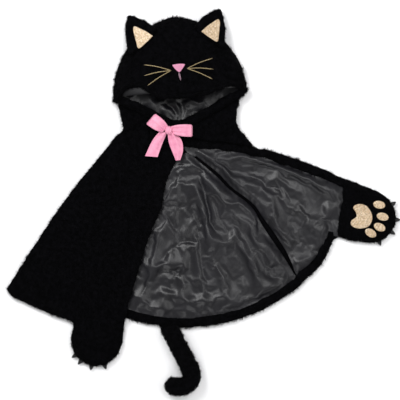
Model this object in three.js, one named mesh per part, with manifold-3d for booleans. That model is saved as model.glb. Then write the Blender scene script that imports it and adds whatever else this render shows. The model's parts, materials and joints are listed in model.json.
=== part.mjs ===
// A child's hooded cat cape, laid flat on its back, closed at the neck, with the left front panel opened out.
// Millimetres. +X runs across the cape, +Y towards the hood and +Z up from the surface it lies on.
// Left and right in the names are the wearer's, so the left front panel lies on the +X side.
import * as THREE from "three";
import { mergeVertices } from "three/addons/utils/BufferGeometryUtils.js";
import Module from "manifold-3d";

const wasm = await Module();
wasm.setup();

// ---- Driving dimensions ----

const plush = 5; // thickness of the pile fabric
const satin = 1.2; // thickness of the lining
const seam = 0.3; // gap between pieces that are sewn together
const facing = 13; // width of the pile fabric turned in at an edge
const turn = 3.2; // height of a turned edge above the pile fabric
const capeRadius = 352; // from the neck to the hem
const foldAngle = -49; // of the left fold line, in degrees
const rightFoldAngle = -131;

const backPile = [0, plush];
const backSatin = [plush + seam, plush + seam + satin];
const turnedEdge = [backSatin[0], backSatin[0] + turn];
const frontSatin = [backSatin[1] + 0.6, backSatin[1] + 0.6 + satin];
const frontPile = [frontSatin[1] + seam, frontSatin[1] + seam + plush];

const neck = { x: -36, y: 110 }; // where both front edges leave the neck
const hoodPlace = { x: -44, y: 218, turn: 4.3 }; // middle of the hood's mouth
const hood = { halfWidth: 134, height: 150, puff: 45, power: 1.78, wall: 5, neckHalf: 112, neckSeam: -32 };
const hoodBase = plush + seam; // height at which the hood's face panel starts
const earRoot = { x: 78, y: 114.5, turn: -43 }; // middle of an ear's base, on the hood's seam
const earGap = 4; // between the hood's seam and an ear, for the ear to bend
const earLayer = 3;
const closurePatch = { x: -54, y: 131, width: 26, depth: 20 };
const closureTab = { x: -72, y: 131, width: 62, depth: 28, thickness: 3.6 };
const patchTop = frontPile[1] + 2 * seam + 2 * satin; // the hook patch lies on the loop patch
const tabBase = patchTop + seam;
const bow = { base: tabBase + closureTab.thickness + 0.8, loop: 7.5, tail: 2, knot: 7, round: 1.4 };
const paw = { width: 100, length: 99, straight: 46, height: 19, wall: 4, roof: 4, wrist: 4 };
const leftPaw = { x: 287, y: -24, turn: -8 };
const rightPaw = { x: -202, y: -228, turn: -100 };
const tail = { radius: 17, wall: 3, curl: 26 };
const tailRoot = { x: -65, y: -254, turn: -65 };

// ---- Small geometry helpers ----

const radians = THREE.MathUtils.degToRad;

/** A point at a distance and an angle from a centre. */
function polar(centre, angle, distance) {
  return new THREE.Vector2(
    centre.x + distance * Math.cos(radians(angle)),
    centre.y + distance * Math.sin(radians(angle)),
  );
}

/** A point given in a turned frame, in the cape's own frame. */
function fromFrame(frame, x, y) {
  return new THREE.Vector2(x, y).rotateAround(new THREE.Vector2(0, 0), radians(frame.turn)).add(frame);
}

/** Points along an arc, both ends included. */
function arc(centre, radius, from, to, steps) {
  const at = (i) => polar(centre, THREE.MathUtils.lerp(from, to, i / steps), radius);
  return Array.from({ length: steps + 1 }, (_, i) => at(i));
}

/** Points along a smooth curve through the given points. */
function curve(points, steps) {
  return new THREE.SplineCurve(points.map(([x, y]) => new THREE.Vector2(x, y))).getPoints(steps);
}

/** A line of points moved sideways, to its left for a positive distance. */
function aside(points, distance) {
  return points.map((p, i) => {
    const before = points[Math.max(i - 1, 0)];
    const after = points[Math.min(i + 1, points.length - 1)];
    const along = after.clone().sub(before).normalize();
    return new THREE.Vector2(p.x - along.y * distance, p.y + along.x * distance);
  });
}

/** A strip that follows a line of points, on its left side for a positive width. */
function strip(points, width) {
  return [...points, ...aside(points, width).reverse()];
}

/** An upright slab of an outline between two heights. */
function slab(outline, [low, high]) {
  const shape = new THREE.Shape(outline);
  const made = new THREE.ExtrudeGeometry(shape, { depth: high - low, bevelEnabled: false, curveSegments: 12 });
  return made.translate(0, 0, low);
}

/** A closed geometry as a solid that can be joined and cut. */
function solid(geometry) {
  const bare = new THREE.BufferGeometry();
  bare.setAttribute("position", (geometry.index ? geometry.toNonIndexed() : geometry).getAttribute("position"));
  const merged = mergeVertices(bare, 1e-4);
  return new wasm.Manifold(
    new wasm.Mesh({
      numProp: 3,
      vertProperties: new Float32Array(merged.attributes.position.array),
      triVerts: new Uint32Array(merged.index.array),
    }),
  );
}

/** A solid as a geometry. */
function geometryOf(made) {
  const mesh = made.getMesh();
  const geometry = new THREE.BufferGeometry();
  geometry.setAttribute("position", new THREE.BufferAttribute(mesh.vertProperties, 3));
  geometry.setIndex(new THREE.BufferAttribute(mesh.triVerts, 1));
  return geometry.toNonIndexed();
}

const colours = {
  pile: { color: 0x0b0a0c, roughness: 0.95 },
  satin: { color: 0x2a292d, roughness: 0.35 },
  velour: { color: 0x0d0c0f, roughness: 0.9 },
  glitter: { color: 0xdcb98a, roughness: 0.5, metalness: 0.3 },
  ribbon: { color: 0xf59fc4, roughness: 0.45 },
  thread: { color: 0xc0a860, roughness: 0.4, metalness: 0.4 },
  nose: { color: 0xf58cc0, roughness: 0.6 },
  claw: { color: 0x0c0c0d, roughness: 0.6 },
  tape: { color: 0x111113, roughness: 0.9 },
  filling: { color: 0xe8e8e6, roughness: 1 },
};
const materials = Object.fromEntries(
  Object.entries(colours).map(([name, look]) => [name, new THREE.MeshStandardMaterial(look)]),
);

/** Adds one named piece to a group. */
function piece(group, name, material, geometry) {
  const mesh = new THREE.Mesh(geometry, materials[material]);
  mesh.name = name;
  group.add(mesh);
  return mesh;
}

/** A group at a frame's place and turn. */
function groupAt(frame, height = 0) {
  const made = new THREE.Group();
  made.position.set(frame.x, frame.y, height);
  made.rotation.z = radians(frame.turn ?? 0);
  return made;
}

// ---- Outlines of the cape ----

const neckSeamRight = fromFrame(hoodPlace, -hood.neckHalf, hood.neckSeam - 1.5);
const neckSeamLeft = fromFrame(hoodPlace, hood.neckHalf, hood.neckSeam - 1.5);
const rightSide = curve([[-157, 142], [-176, 127], [-194, 103], [-288, -16], [-392, -176]], 12);
const leftSide = curve([[67, 155], [86, 133], [103, 109]], 4);
const neckEdgeRight = curve([[-154, 176], [-109, 168], [-72, 147], [-50, 136]], 8);
const neckEdgeLeft = curve([[-50, 136], [-17, 150], [8, 167], [66, 190]], 8);
const frontEdgeRight = curve([[-59, 78], [-73, 36], [-81, -12], [-115, -98], [-131, -150], [-151, -229]], 14);
const frontEdgeLeft = curve([[9, 117.5], [56, 111], [158, 92], [238, 62], [296, 27]], 14);
const backHemEnd = -104;
const flapHemEnd = -32; // angle of the hem where the left mitt starts

/** A point beside a fold line that leaves the neck at an angle. */
function besideFold(angle, distance, sideways) {
  return polar(polar(neck, angle, distance), angle + 90, sideways);
}

/** A point of the left fold line, moved sideways towards the front edge. */
function leftFold(distance, sideways) {
  return besideFold(foldAngle, distance, sideways);
}

/** A point of the right fold line, moved sideways towards the front edge. */
function rightFold(distance, sideways) {
  return besideFold(rightFoldAngle, distance, sideways);
}

/** The back panel's outline for a hem radius, with room for the right mitt to flex. */
function backOutline(inset) {
  const hem = arc(neck, capeRadius - inset, foldAngle - 0.4, backHemEnd, 18);
  return [
    neckSeamRight,
    neckSeamLeft,
    ...leftSide.map((p) => new THREE.Vector2(p.x - inset * 0.6, p.y)),
    new THREE.Vector2(58, 113.5),
    new THREE.Vector2(-18, 123),
    new THREE.Vector2(-34, 113),
    leftFold(14, -1.5),
    ...hem,
    new THREE.Vector2(-138, -238 + inset),
    new THREE.Vector2(-142, -208),
    new THREE.Vector2(-266, -203),
    new THREE.Vector2(-322, -203 + inset * 0.4),
    ...rightSide.map((p) => new THREE.Vector2(p.x + inset * 0.8, p.y + inset * 0.3)).reverse(),
  ];
}

/** The back of the cape: pile panel, lining and the turned hem, which stop at the left fold. */
function backOfCape() {
  const root = new THREE.Group();
  piece(root, "back_panel", "pile", slab(backOutline(0), backPile));
  piece(root, "back_lining", "satin", slab(backOutline(facing + 1), backSatin));
  const hem = arc(neck, capeRadius, foldAngle - 0.6, backHemEnd + 0.6, 18);
  piece(root, "back_hem_facing", "pile", slab(strip(hem, -facing), turnedEdge));
  return root;
}

/** The shoulders: the fixed parts of both fronts, down to the fold lines, and the faced neck edge. */
function shoulders() {
  const root = new THREE.Group();
  const right = [
    ...neckEdgeRight.slice(0, -1),
    new THREE.Vector2(-46, 118),
    new THREE.Vector2(-59, 84),
    rightFold(68, -2),
    rightFold(416, -2),
    new THREE.Vector2(-340, -199),
    ...rightSide.slice().reverse(),
  ];
  piece(root, "right_shoulder_panel", "pile", slab(right, frontPile));
  const left = [
    ...neckEdgeLeft.slice(1),
    ...leftSide,
    new THREE.Vector2(56, 118),
    new THREE.Vector2(-14, 127),
    new THREE.Vector2(-38, 120),
  ];
  piece(root, "left_shoulder_panel", "pile", slab(left, frontPile));
  const edge = [...neckEdgeRight.slice(1), ...neckEdgeLeft.slice(1)];
  const raised = edge.map((p) => new THREE.Vector2(p.x, p.y + 1));
  piece(root, "neck_facing", "pile", slab(strip(raised, 9), [backSatin[1] + seam, frontPile[1]]));
  const loopPatch = slab(rectangle(closurePatch), [frontPile[1] + seam, frontPile[1] + seam + satin]);
  piece(root, "closure_loop_patch", "tape", loopPatch);
  return root;
}

/** A rectangle with its middle at x, y. */
function rectangle({ x, y, width, depth }) {
  const corner = (right, far) => new THREE.Vector2(x + (right * width) / 2, y + (far * depth) / 2);
  return [corner(-1, -1), corner(1, -1), corner(1, 1), corner(-1, 1)];
}

/** The right front panel, closed over the back, pile side up. */
function rightFront() {
  const root = new THREE.Group();
  const wrist = [fromFrame(rightPaw, -3, 47), fromFrame(rightPaw, -3, -52)];
  const outline = (inset) => [
    rightFold(76 + inset, 2),
    ...frontEdgeRight.slice(1, -1).map((p) => new THREE.Vector2(p.x - inset, p.y)),
    wrist[0].clone().add(new THREE.Vector2(-inset, 0)),
    wrist[1],
    new THREE.Vector2(-262, -232 + inset * 0.6),
    rightFold(418 - inset, 2),
  ];
  piece(root, "right_front_panel", "pile", slab(outline(0), frontPile));
  piece(root, "right_front_lining", "satin", slab(outline(facing), frontSatin));
  const edge = strip(frontEdgeRight.slice(2, -2), -facing + 1);
  piece(root, "right_front_facing", "pile", slab(edge, frontSatin));
  return root;
}

/** The left front panel, opened out flat, lining side up. */
function leftFront() {
  const root = new THREE.Group();
  const hem = (inset) => arc(neck, capeRadius - inset, flapHemEnd, foldAngle + 0.6, 8);
  const wrist = [fromFrame(leftPaw, -3, 51), fromFrame(leftPaw, -3, -44)];
  const outline = (inset) => [
    leftFold(34 + inset, 1.5),
    ...aside(frontEdgeLeft, -inset).slice(0, -1),
    wrist[0].clone().add(new THREE.Vector2(0, -inset * 1.2)),
    wrist[1],
    ...hem(inset),
  ];
  piece(root, "left_front_panel", "pile", slab(outline(0), backPile));
  piece(root, "left_front_lining", "satin", slab(outline(facing + 1), backSatin));
  piece(root, "left_front_facing", "pile", slab(strip(frontEdgeLeft.slice(0, -1), -facing), turnedEdge));
  piece(root, "left_hem_facing", "pile", slab(strip(hem(0), -facing), turnedEdge));
  return root;
}

// ---- Neck closure and bow ----

/** The hook-and-loop tab on the right front, with the ribbon bow sewn on it. */
function closureAndBow() {
  const root = new THREE.Group();
  piece(root, "closure_hook_patch", "tape", slab(rectangle(closurePatch), [patchTop - satin, patchTop]));
  const tab = slab(rectangle(closureTab), [tabBase, tabBase + closureTab.thickness]);
  piece(root, "closure_tab", "pile", tab);
  const knot = new THREE.Shape(curve([[-76, 150], [-58, 148], [-56, 138], [-72, 134], [-80, 141], [-76, 150]], 10));
  const edge = { bevelThickness: bow.round, bevelSize: bow.round, bevelOffset: -bow.round, bevelSegments: 2 };
  const knotBody = new THREE.ExtrudeGeometry(knot, { depth: bow.knot, ...edge });
  knotBody.translate(0, 0, bow.base + bow.round);
  piece(root, "bow_knot", "ribbon", geometryOf(solid(knotBody)));
  const loops = {
    bow_right_loop: curve([[-81.5, 142], [-95, 148], [-109.5, 158], [-94, 176.5], [-82, 163], [-77.5, 152]], 14),
    bow_left_loop: curve([[-54.5, 147], [-43, 157.5], [-17, 152], [-21.5, 128], [-40, 131], [-54.5, 139]], 14),
  };
  for (const [name, outline] of Object.entries(loops))
    piece(root, name, "ribbon", slab(outline, [bow.base, bow.base + bow.loop]));
  const tails = {
    bow_right_tail: [[-74, 131], [-84, 126], [-99, 106], [-113.5, 89], [-88.5, 88], [-80, 104], [-71, 128]],
    bow_left_tail: [[-66, 131], [-62, 104], [-50, 83], [-43, 88], [-37.5, 104], [-45, 118], [-57, 131]],
  };
  for (const [name, outline] of Object.entries(tails)) {
    const shape = outline.map(([x, y]) => new THREE.Vector2(x, y));
    piece(root, name, "ribbon", slab(shape, [bow.base, bow.base + bow.tail]));
  }
  return root;
}

// ---- Hood ----

/** A point of the hood's rounded outline, u from 0 at the left corner to 1 at the right corner. */
function hoodRim(u, halfWidth, height) {
  const angle = Math.PI * u;
  const reach = (part, size) => Math.sign(part) * size * Math.abs(part) ** (2 / hood.power);
  return [reach(Math.cos(angle), halfWidth), reach(Math.sin(angle), height)];
}

/** Half of a dome that stands on the hood's outline, with its flat side along X or pushed out by a step. */
function halfDome(inset, base, step = 0) {
  const across = 26;
  const up = 7;
  const top = hood.puff - inset;
  const mouth = (i) => (i % across === 0 ? step : 0);
  const places = [];
  for (let j = 0; j < up; j++)
    for (let i = 0; i <= across; i++) {
      const lift = (Math.PI / 2) * (j / up);
      const [x, y] = hoodRim(i / across, hood.halfWidth - inset, hood.height - inset);
      places.push([x * Math.cos(lift), y * Math.cos(lift) - mouth(i), base + (top - base) * Math.sin(lift)]);
    }
  places.push([0, -step, top], [0, -step, base]);
  const pole = up * (across + 1);
  const centre = pole + 1;
  const at = (i, j) => (j === up ? pole : j * (across + 1) + i);
  const faces = [];
  for (let i = 0; i < across; i++) {
    faces.push([centre, at(i + 1, 0), at(i, 0)]);
    for (let j = 0; j < up; j++) {
      faces.push([at(i, j), at(i + 1, j), at(i, j + 1)]);
      if (j < up - 1) faces.push([at(i + 1, j), at(i + 1, j + 1), at(i, j + 1)]);
    }
  }
  for (let j = 0; j < up; j++) {
    faces.push([centre, at(0, j), at(0, j + 1)]);
    faces.push([centre, at(across, j + 1), at(across, j)]);
  }
  const geometry = new THREE.BufferGeometry();
  geometry.setAttribute("position", new THREE.Float32BufferAttribute(places.flat(), 3));
  geometry.setIndex(faces.flat());
  return solid(geometry);
}

/** A thin layer on the hood's dome, cut to an outline seen from above. */
function onDome(outlines, low, high) {
  const layer = halfDome(-high, hoodBase).subtract(halfDome(-low, hoodBase, 1));
  const prisms = outlines.map((points) =>
    solid(slab(points.map(([x, y]) => new THREE.Vector2(x, y)), [10, hood.puff + 10])),
  );
  return layer.intersect(prisms.reduce((all, next) => all.add(next)));
}

/** A straight stitch line, as a narrow outline that tapers towards its end. */
function stitch([x0, y0], [x1, y1], width) {
  const along = new THREE.Vector2(x1 - x0, y1 - y0).normalize();
  const [sx, sy] = [(-along.y * width) / 2, (along.x * width) / 2];
  return [[x0 + sx, y0 + sy], [x0 - sx, y0 - sy], [x1 - sx * 0.7, y1 - sy * 0.7], [x1 + sx * 0.7, y1 + sy * 0.7]];
}

/** The hood: back and face panels, lining, faced edge and the embroidered face. */
function hoodPieces() {
  const root = groupAt(hoodPlace);
  const rim = Array.from({ length: 25 }, (_, i) => new THREE.Vector2(...hoodRim(i / 24, hood.halfWidth, hood.height)));
  const low = hood.neckSeam + 1.5;
  const back = [...rim, new THREE.Vector2(-hood.neckHalf, low), new THREE.Vector2(hood.neckHalf, low)];
  piece(root, "hood_back_panel", "pile", slab(back, backPile));
  const face = halfDome(0, hoodBase).subtract(halfDome(hood.wall, hoodBase, 1));
  piece(root, "hood_face_panel", "pile", geometryOf(face));
  const gap = hood.wall + seam;
  const pocket = halfDome(gap, hoodBase).subtract(halfDome(gap + satin, hoodBase + satin, 1));
  const apron = [[-104, low + 1], [104, low + 1], [122, 1], [-122, 1]].map(([x, y]) => new THREE.Vector2(x, y));
  piece(root, "hood_lining", "satin", geometryOf(pocket.add(solid(slab(apron, backSatin)))));
  const arch = new THREE.Shape();
  arch.absellipse(0, 0, hood.halfWidth, hood.puff - hoodBase, 0, Math.PI, false);
  arch.lineTo(-hood.halfWidth + hood.wall, 0);
  arch.absellipse(0, 0, hood.halfWidth - hood.wall, hood.puff - hoodBase - hood.wall, Math.PI, 0, true);
  const band = new THREE.ExtrudeGeometry(arch, { depth: 8, bevelEnabled: false, curveSegments: 18 });
  piece(root, "hood_edge_facing", "pile", band.rotateX(Math.PI / 2).translate(0, -seam, hoodBase + seam + satin));
  const nose = [[-11, 50], [15, 50], [13.5, 46], [4, 35], [0, 35], [-10, 46]];
  piece(root, "nose", "nose", geometryOf(onDome([nose], seam, 1.8)));
  piece(root, "mouth_stitch", "nose", geometryOf(onDome([stitch([2, 33.5], [3.6, 17], 2.6)], seam, 1.3)));
  for (const [name, side] of [["right_whiskers", -1], ["left_whiskers", 1]]) {
    const start = [2 + side * 15.5, 41];
    const ends = [[2 + side * 68, 57.5], [2 + side * 69, 35.7], [2 + side * 64.5, 16]];
    const lines = ends.map((end) => stitch(start, end, 2));
    piece(root, name, "thread", geometryOf(onDome(lines, seam, 1.3)));
  }
  for (const [name, side] of [["right_ear", -1], ["left_ear", 1]]) root.add(ear(name, side));
  return root;
}

/** One ear: back and front of pile fabric with a glitter inner, beyond the hood's seam. */
function ear(name, side) {
  const root = new THREE.Group();
  root.position.set(side * earRoot.x, earRoot.y, 0);
  root.rotation.z = side * radians(earRoot.turn);
  const outline = (points) => curve(points.map(([x, y]) => [side * x, y]), 10);
  const whole = outline([[-39, earGap], [-34, 21], [-25, 40], [-12, 38], [10, 24], [28, earGap]]);
  const inner = outline([[-25, 8], [-18, 20], [-10, 27], [4, 18], [14, 8]]);
  piece(root, `${name}_back`, "pile", slab(whole, [0, earLayer]));
  piece(root, `${name}_front`, "pile", slab(whole, [earLayer + seam, 2 * earLayer + seam]));
  piece(root, `${name}_inner`, "glitter", slab(inner, [2 * earLayer + 2 * seam, 2 * earLayer + 2 * seam + 1]));
  return root;
}

// ---- Mitts ----

/** The mitt's outline: straight sides from the wrist and a round end. */
function pawOutline(inset, wrist) {
  const half = paw.width / 2 - inset;
  const shape = new THREE.Shape();
  shape.moveTo(wrist, -half);
  shape.lineTo(paw.straight, -half);
  shape.absellipse(paw.straight, 0, paw.length - paw.straight - inset, half, -Math.PI / 2, Math.PI / 2, false);
  shape.lineTo(wrist, half);
  return shape.getPoints(10);
}

/** A point just outside the mitt's round end, in a direction from the middle of that end. */
function pawEdge(direction, gap) {
  const reach = new THREE.Vector2((paw.length - paw.straight) * Math.cos(radians(direction)), 0);
  return reach.add(new THREE.Vector2(paw.straight, (paw.width / 2) * Math.sin(radians(direction)))).add(
    polar({ x: 0, y: 0 }, direction, gap),
  );
}

const pads = {
  main_pad: [[14, 20], [24, 24], [40, 20], [52, 2], [48, -17], [30, -25], [14, -22], [11, -12], [20, -3], [18, 6], [11, 14]],
  toe_pads: [[62, 27.5, -3], [72, 5, -6], [69, -16.5, -16], [53, -30.5, -22]],
};

/** One mitt in its own frame, palm up: back, palm with its pocket, glitter pads and claws. */
function mitt(name, claws) {
  const root = new THREE.Group();
  const outside = pawOutline(0, paw.wrist);
  piece(root, `${name}_paw_back`, "pile", slab(outside, backPile));
  const shell = solid(slab(outside, [plush + seam, paw.height]));
  const pocket = solid(slab(pawOutline(paw.wall, -5), [0, paw.height - paw.roof]));
  piece(root, `${name}_paw_palm`, "velour", geometryOf(shell.subtract(pocket)));
  const onPalm = [paw.height + seam, paw.height + seam + satin];
  const main = curve([...pads.main_pad, pads.main_pad[0]].map(([x, y]) => [x, y]), 22);
  piece(root, `${name}_main_pad`, "glitter", slab(main, onPalm));
  pads.toe_pads.forEach(([x, y, turned], i) => {
    const oval = new THREE.Shape();
    oval.absellipse(x, y, 12, 7.6, 0, 2 * Math.PI, false, radians(turned));
    piece(root, `${name}_toe_pad_${i + 1}`, "glitter", slab(oval.getPoints(5).slice(0, -1), onPalm));
  });
  claws.forEach((pointing, i) => {
    const spot = pawEdge(pointing, seam);
    const claw = new THREE.LatheGeometry([[0, 0], [3.6, 0], [1.6, 6.5], [0, 12]].map((p) => new THREE.Vector2(...p)), 8);
    const mesh = piece(root, `${name}_claw_${i + 1}`, "claw", geometryOf(solid(claw)));
    mesh.position.set(spot.x, spot.y, paw.height / 2);
    mesh.rotation.z = radians(pointing - 90);
  });
  return root;
}

/** Both mitts: the left one palm up, the right one palm down. */
function mitts() {
  const root = new THREE.Group();
  const left = groupAt(leftPaw);
  left.add(mitt("left", [38, 3, -26, -60]));
  const right = groupAt(rightPaw, paw.height + seam + satin);
  const turned = mitt("right", [44, 27, 1, -28]);
  turned.rotation.x = Math.PI;
  right.add(turned);
  root.add(left, right);
  return root;
}

// ---- Tail ----

/** A stuffed tail: an open tube with its filling, and a curled tip that hangs from its end. */
function tailPieces() {
  const root = groupAt(tailRoot, tail.radius);
  const start = 17;
  const end = 66;
  const turnedTube = (profile) => {
    const lathe = new THREE.LatheGeometry(profile.map(([r, y]) => new THREE.Vector2(r, y)), 14);
    return geometryOf(solid(lathe.rotateZ(-Math.PI / 2)));
  };
  const inside = tail.radius - tail.wall;
  const shell = [[0, end - tail.wall], [inside, end - tail.wall], [inside, start], [tail.radius, start], [tail.radius, end], [0, end]];
  piece(root, "tail_upper_shell", "pile", turnedTube(shell));
  const filling = [[0, start], [inside - seam, start], [inside - seam, end - tail.wall - seam], [0, end - tail.wall - seam]];
  piece(root, "tail_upper_filling", "filling", turnedTube(filling));
  const path = new THREE.CurvePath();
  const bend = new THREE.Vector3(end + 22, 0, 0);
  path.add(new THREE.LineCurve3(new THREE.Vector3(end + 11, 0, 0), bend));
  const round = new THREE.EllipseCurve(bend.x, -tail.curl, tail.curl, tail.curl, Math.PI / 2, -0.56 * Math.PI, true);
  const flat = new THREE.CatmullRomCurve3(round.getPoints(10).map((p) => new THREE.Vector3(p.x, p.y, 0)));
  path.add(flat);
  const section = new THREE.Shape().absarc(0, 0, tail.radius, 0, 2 * Math.PI, false);
  const tube = new THREE.ExtrudeGeometry(section, { steps: 22, curveSegments: 6, extrudePath: path });
  const tip = flat.getPoint(1);
  const ball = new THREE.SphereGeometry(tail.radius * 0.98, 14, 8).translate(tip.x, tip.y, tip.z);
  piece(root, "tail_tip", "pile", geometryOf(solid(tube).add(solid(ball))));
  return root;
}

// ---- The whole cape ----

const cape = new THREE.Group();
cape.add(backOfCape(), shoulders(), rightFront(), leftFront(), closureAndBow(), hoodPieces(), mitts(), tailPieces());

export default cape;
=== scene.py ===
"""Looks of a child's hooded cat cape that lies on its back with one front opened out.

Plush outside, satin lining, a bow at the neck, two mitts with glitter pads and a stuffed tail.
Lengths in this file are millimetres, and they become metres when a mesh is made.
"""

import json
import logging
import math
from dataclasses import dataclass
from enum import Enum
from typing import Callable, Iterable, Sequence

import bmesh
import bpy
import numpy as np
from mathutils import Matrix, Vector, geometry, noise


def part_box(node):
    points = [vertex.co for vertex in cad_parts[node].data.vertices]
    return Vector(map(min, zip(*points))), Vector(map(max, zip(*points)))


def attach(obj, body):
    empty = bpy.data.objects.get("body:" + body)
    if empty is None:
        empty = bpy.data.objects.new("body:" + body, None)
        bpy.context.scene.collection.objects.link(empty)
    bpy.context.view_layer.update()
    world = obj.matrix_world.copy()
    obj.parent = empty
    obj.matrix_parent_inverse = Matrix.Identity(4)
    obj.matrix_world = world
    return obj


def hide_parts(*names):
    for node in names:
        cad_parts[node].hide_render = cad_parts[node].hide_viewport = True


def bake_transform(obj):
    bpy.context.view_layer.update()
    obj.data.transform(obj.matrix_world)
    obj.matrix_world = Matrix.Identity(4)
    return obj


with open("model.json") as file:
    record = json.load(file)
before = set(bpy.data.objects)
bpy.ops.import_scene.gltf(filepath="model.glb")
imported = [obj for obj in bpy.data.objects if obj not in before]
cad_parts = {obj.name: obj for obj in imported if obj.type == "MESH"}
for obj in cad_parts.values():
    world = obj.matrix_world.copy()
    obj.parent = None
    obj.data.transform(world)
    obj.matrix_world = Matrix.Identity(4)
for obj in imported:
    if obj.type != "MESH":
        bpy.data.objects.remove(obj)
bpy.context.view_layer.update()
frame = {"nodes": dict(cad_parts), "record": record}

MM = 0.001
log = logging.getLogger("cape")

Points = Sequence[tuple[float, float]]
Height = Callable[[np.ndarray], np.ndarray]


# ---- Places taken from the frame ----


@dataclass(frozen=True)
class Place:
    """A spot with a direction, in which a part's own millimetres are measured."""

    x: float
    y: float
    angle: float = 0.0

    def world(self, points: np.ndarray) -> np.ndarray:
        """Turns points measured here into the cape's millimetres.

        Args:
            points: Rows of x and y.

        Returns:
            Rows of x and y in the cape's own frame.
        """
        c, s = math.cos(self.angle), math.sin(self.angle)
        return points @ np.array([[c, s], [-s, c]]) + np.array([self.x, self.y])

    def at(self, x: float, y: float, z: float = 0.0) -> Vector:
        """A point measured here, in metres in the cape's frame."""
        px, py = self.world(np.array([[x, y]]))[0]
        return Vector((px, py, z)) * MM


def joint(name: str) -> dict:
    """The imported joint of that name."""
    return next(j for j in frame["record"]["behaviour"]["joints"] if j["name"] == name)


def joint_place(name: str, turned: float = 0.0, ahead: float = 0.0) -> Place:
    """A place on a joint's axis.

    Args:
        name: The joint.
        turned: Degrees from the joint's axis to the place's own x.
        ahead: Millimetres to move along the place's own y.

    Returns:
        The place, with the joint's point as its origin when ahead is 0.
    """
    made = joint(name)
    angle = math.atan2(made["axis"][1], made["axis"][0]) + math.radians(turned)
    here = Place(made["pos_m"][0] / MM, made["pos_m"][1] / MM, angle)
    x, y = here.world(np.array([[0.0, ahead]]))[0]
    return Place(x, y, angle)


def heading(name: str, way: int = 1) -> float:
    """Direction of a joint's axis in degrees, or against it where way is -1.

    Args:
        name: The joint.
        way: 1 along the axis, -1 against it.

    Returns:
        The angle from the cape's x.
    """
    x, y = joint(name)["axis"][:2]
    return math.degrees(math.atan2(way * y, way * x))


NECK = Place(*(joint("left_front_fold")["pos_m"][k] / MM for k in (0, 1)))
HOOD = joint_place("hood_fold", ahead=32)
EARS = {-1: joint_place("right_ear_bend"), 1: joint_place("left_ear_bend")}
LEFT_MITT = joint_place("left_wrist_bend", turned=90)
RIGHT_MITT = joint_place("right_wrist_bend", turned=-90)
TAIL_ROOT = Vector(joint("tail_swing")["pos_m"]) / MM
TAIL_BEND = Vector(joint("tail_curl")["pos_m"]) / MM
TAIL = Place(TAIL_ROOT.x, TAIL_ROOT.y, math.atan2(TAIL_BEND.y - TAIL_ROOT.y, TAIL_BEND.x - TAIL_ROOT.x))
LEFT_FOLD = heading("left_front_fold", -1)
RIGHT_FOLD = heading("right_front_fold")
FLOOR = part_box("back_panel")[0].z / MM


# ---- Lines, folds and heights ----


def smooth_line(points: Points, spacing: float) -> np.ndarray:
    """A smooth line through points, with even steps.

    Args:
        points: Where the line passes.
        spacing: Length of a step.

    Returns:
        Rows of x and y from the first point to the last.
    """
    p = np.array(points, float)
    tangents = np.gradient(p, axis=0)
    fine = []
    for i in range(len(p) - 1):
        t = np.linspace(0, 1, 24, endpoint=False)[:, None]
        a, b, ta, tb = p[i], p[i + 1], tangents[i], tangents[i + 1]
        fine.append((2 * t**3 - 3 * t**2 + 1) * a + (t**3 - 2 * t**2 + t) * ta
                    + (3 * t**2 - 2 * t**3) * b + (t**3 - t**2) * tb)
    return even_steps(np.vstack([*fine, p[-1:]]), spacing)


def even_steps(line: np.ndarray, spacing: float) -> np.ndarray:
    """The same line with even steps.

    Args:
        line: Rows of coordinates.
        spacing: About how long a step is.

    Returns:
        Rows of coordinates, from the first point to the last.
    """
    run = np.concatenate([[0], np.cumsum(np.linalg.norm(np.diff(line, axis=0), axis=1))])
    count = max(int(round(run[-1] / spacing)), 1)
    at = np.linspace(0, run[-1], count + 1)
    return np.stack([np.interp(at, run, line[:, k]) for k in range(line.shape[1])], axis=1)


def fan(radius: float, start: float, end: float, step: float = 2.0) -> list[tuple[float, float]]:
    """Points of an arc round the neck.

    Args:
        radius: The arc's radius.
        start: Where it starts, in degrees.
        end: Where it ends.
        step: Degrees between points.

    Returns:
        The points, in order.
    """
    count = max(int(abs(end - start) / step), 1)
    angles = np.radians(np.linspace(start, end, count + 1))
    return [(radius * math.cos(a), radius * math.sin(a)) for a in angles]


def beside(angle: float, distance: float, sideways: float) -> tuple[float, float]:
    """A point beside a line that leaves the neck at an angle."""
    a = math.radians(angle)
    return (distance * math.cos(a) - sideways * math.sin(a), distance * math.sin(a) + sideways * math.cos(a))


def inside(points: np.ndarray, ring: np.ndarray) -> np.ndarray:
    """Which points lie inside a closed ring.

    Args:
        points: Rows of x and y.
        ring: Corners of the ring.

    Returns:
        True for each point inside.
    """
    found = np.zeros(len(points), bool)
    for (x0, y0), (x1, y1) in zip(ring, np.roll(ring, -1, axis=0)):
        if y0 != y1:
            crosses = (points[:, 1] < y0) != (points[:, 1] < y1)
            reach = (x1 - x0) * (points[:, 1] - y0) / (y1 - y0) + x0
            found ^= crosses & (points[:, 0] < reach)
    return found


def distance_to(points: np.ndarray, line: np.ndarray) -> tuple[np.ndarray, np.ndarray]:
    """Distance from each point to a line of points, and how far along the line its nearest spot is.

    Args:
        points: Rows of x and y.
        line: Rows of x and y.

    Returns:
        The distances, and the places along the line from 0 to 1.
    """
    best = np.full(len(points), np.inf)
    along = np.zeros(len(points))
    for i in range(len(line) - 1):
        a, step = line[i], line[i + 1] - line[i]
        t = np.clip(((points - a) @ step) / max(step @ step, 1e-9), 0, 1)
        d = np.linalg.norm(points - a - t[:, None] * step, axis=1)
        near = d < best
        best[near], along[near] = d[near], (i + t[near]) / (len(line) - 1)
    return best, along


def smoothstep(value: np.ndarray) -> np.ndarray:
    """0 below 0, 1 above 1 and a smooth rise between."""
    t = np.clip(value, 0, 1)
    return t * t * (3 - 2 * t)


def cloudy(points: np.ndarray, size: float, seed: float) -> np.ndarray:
    """Smooth noise of about the given size, from -1 to 1."""
    return np.array([noise.noise((x / size, y / size, seed)) for x, y in points])


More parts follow.
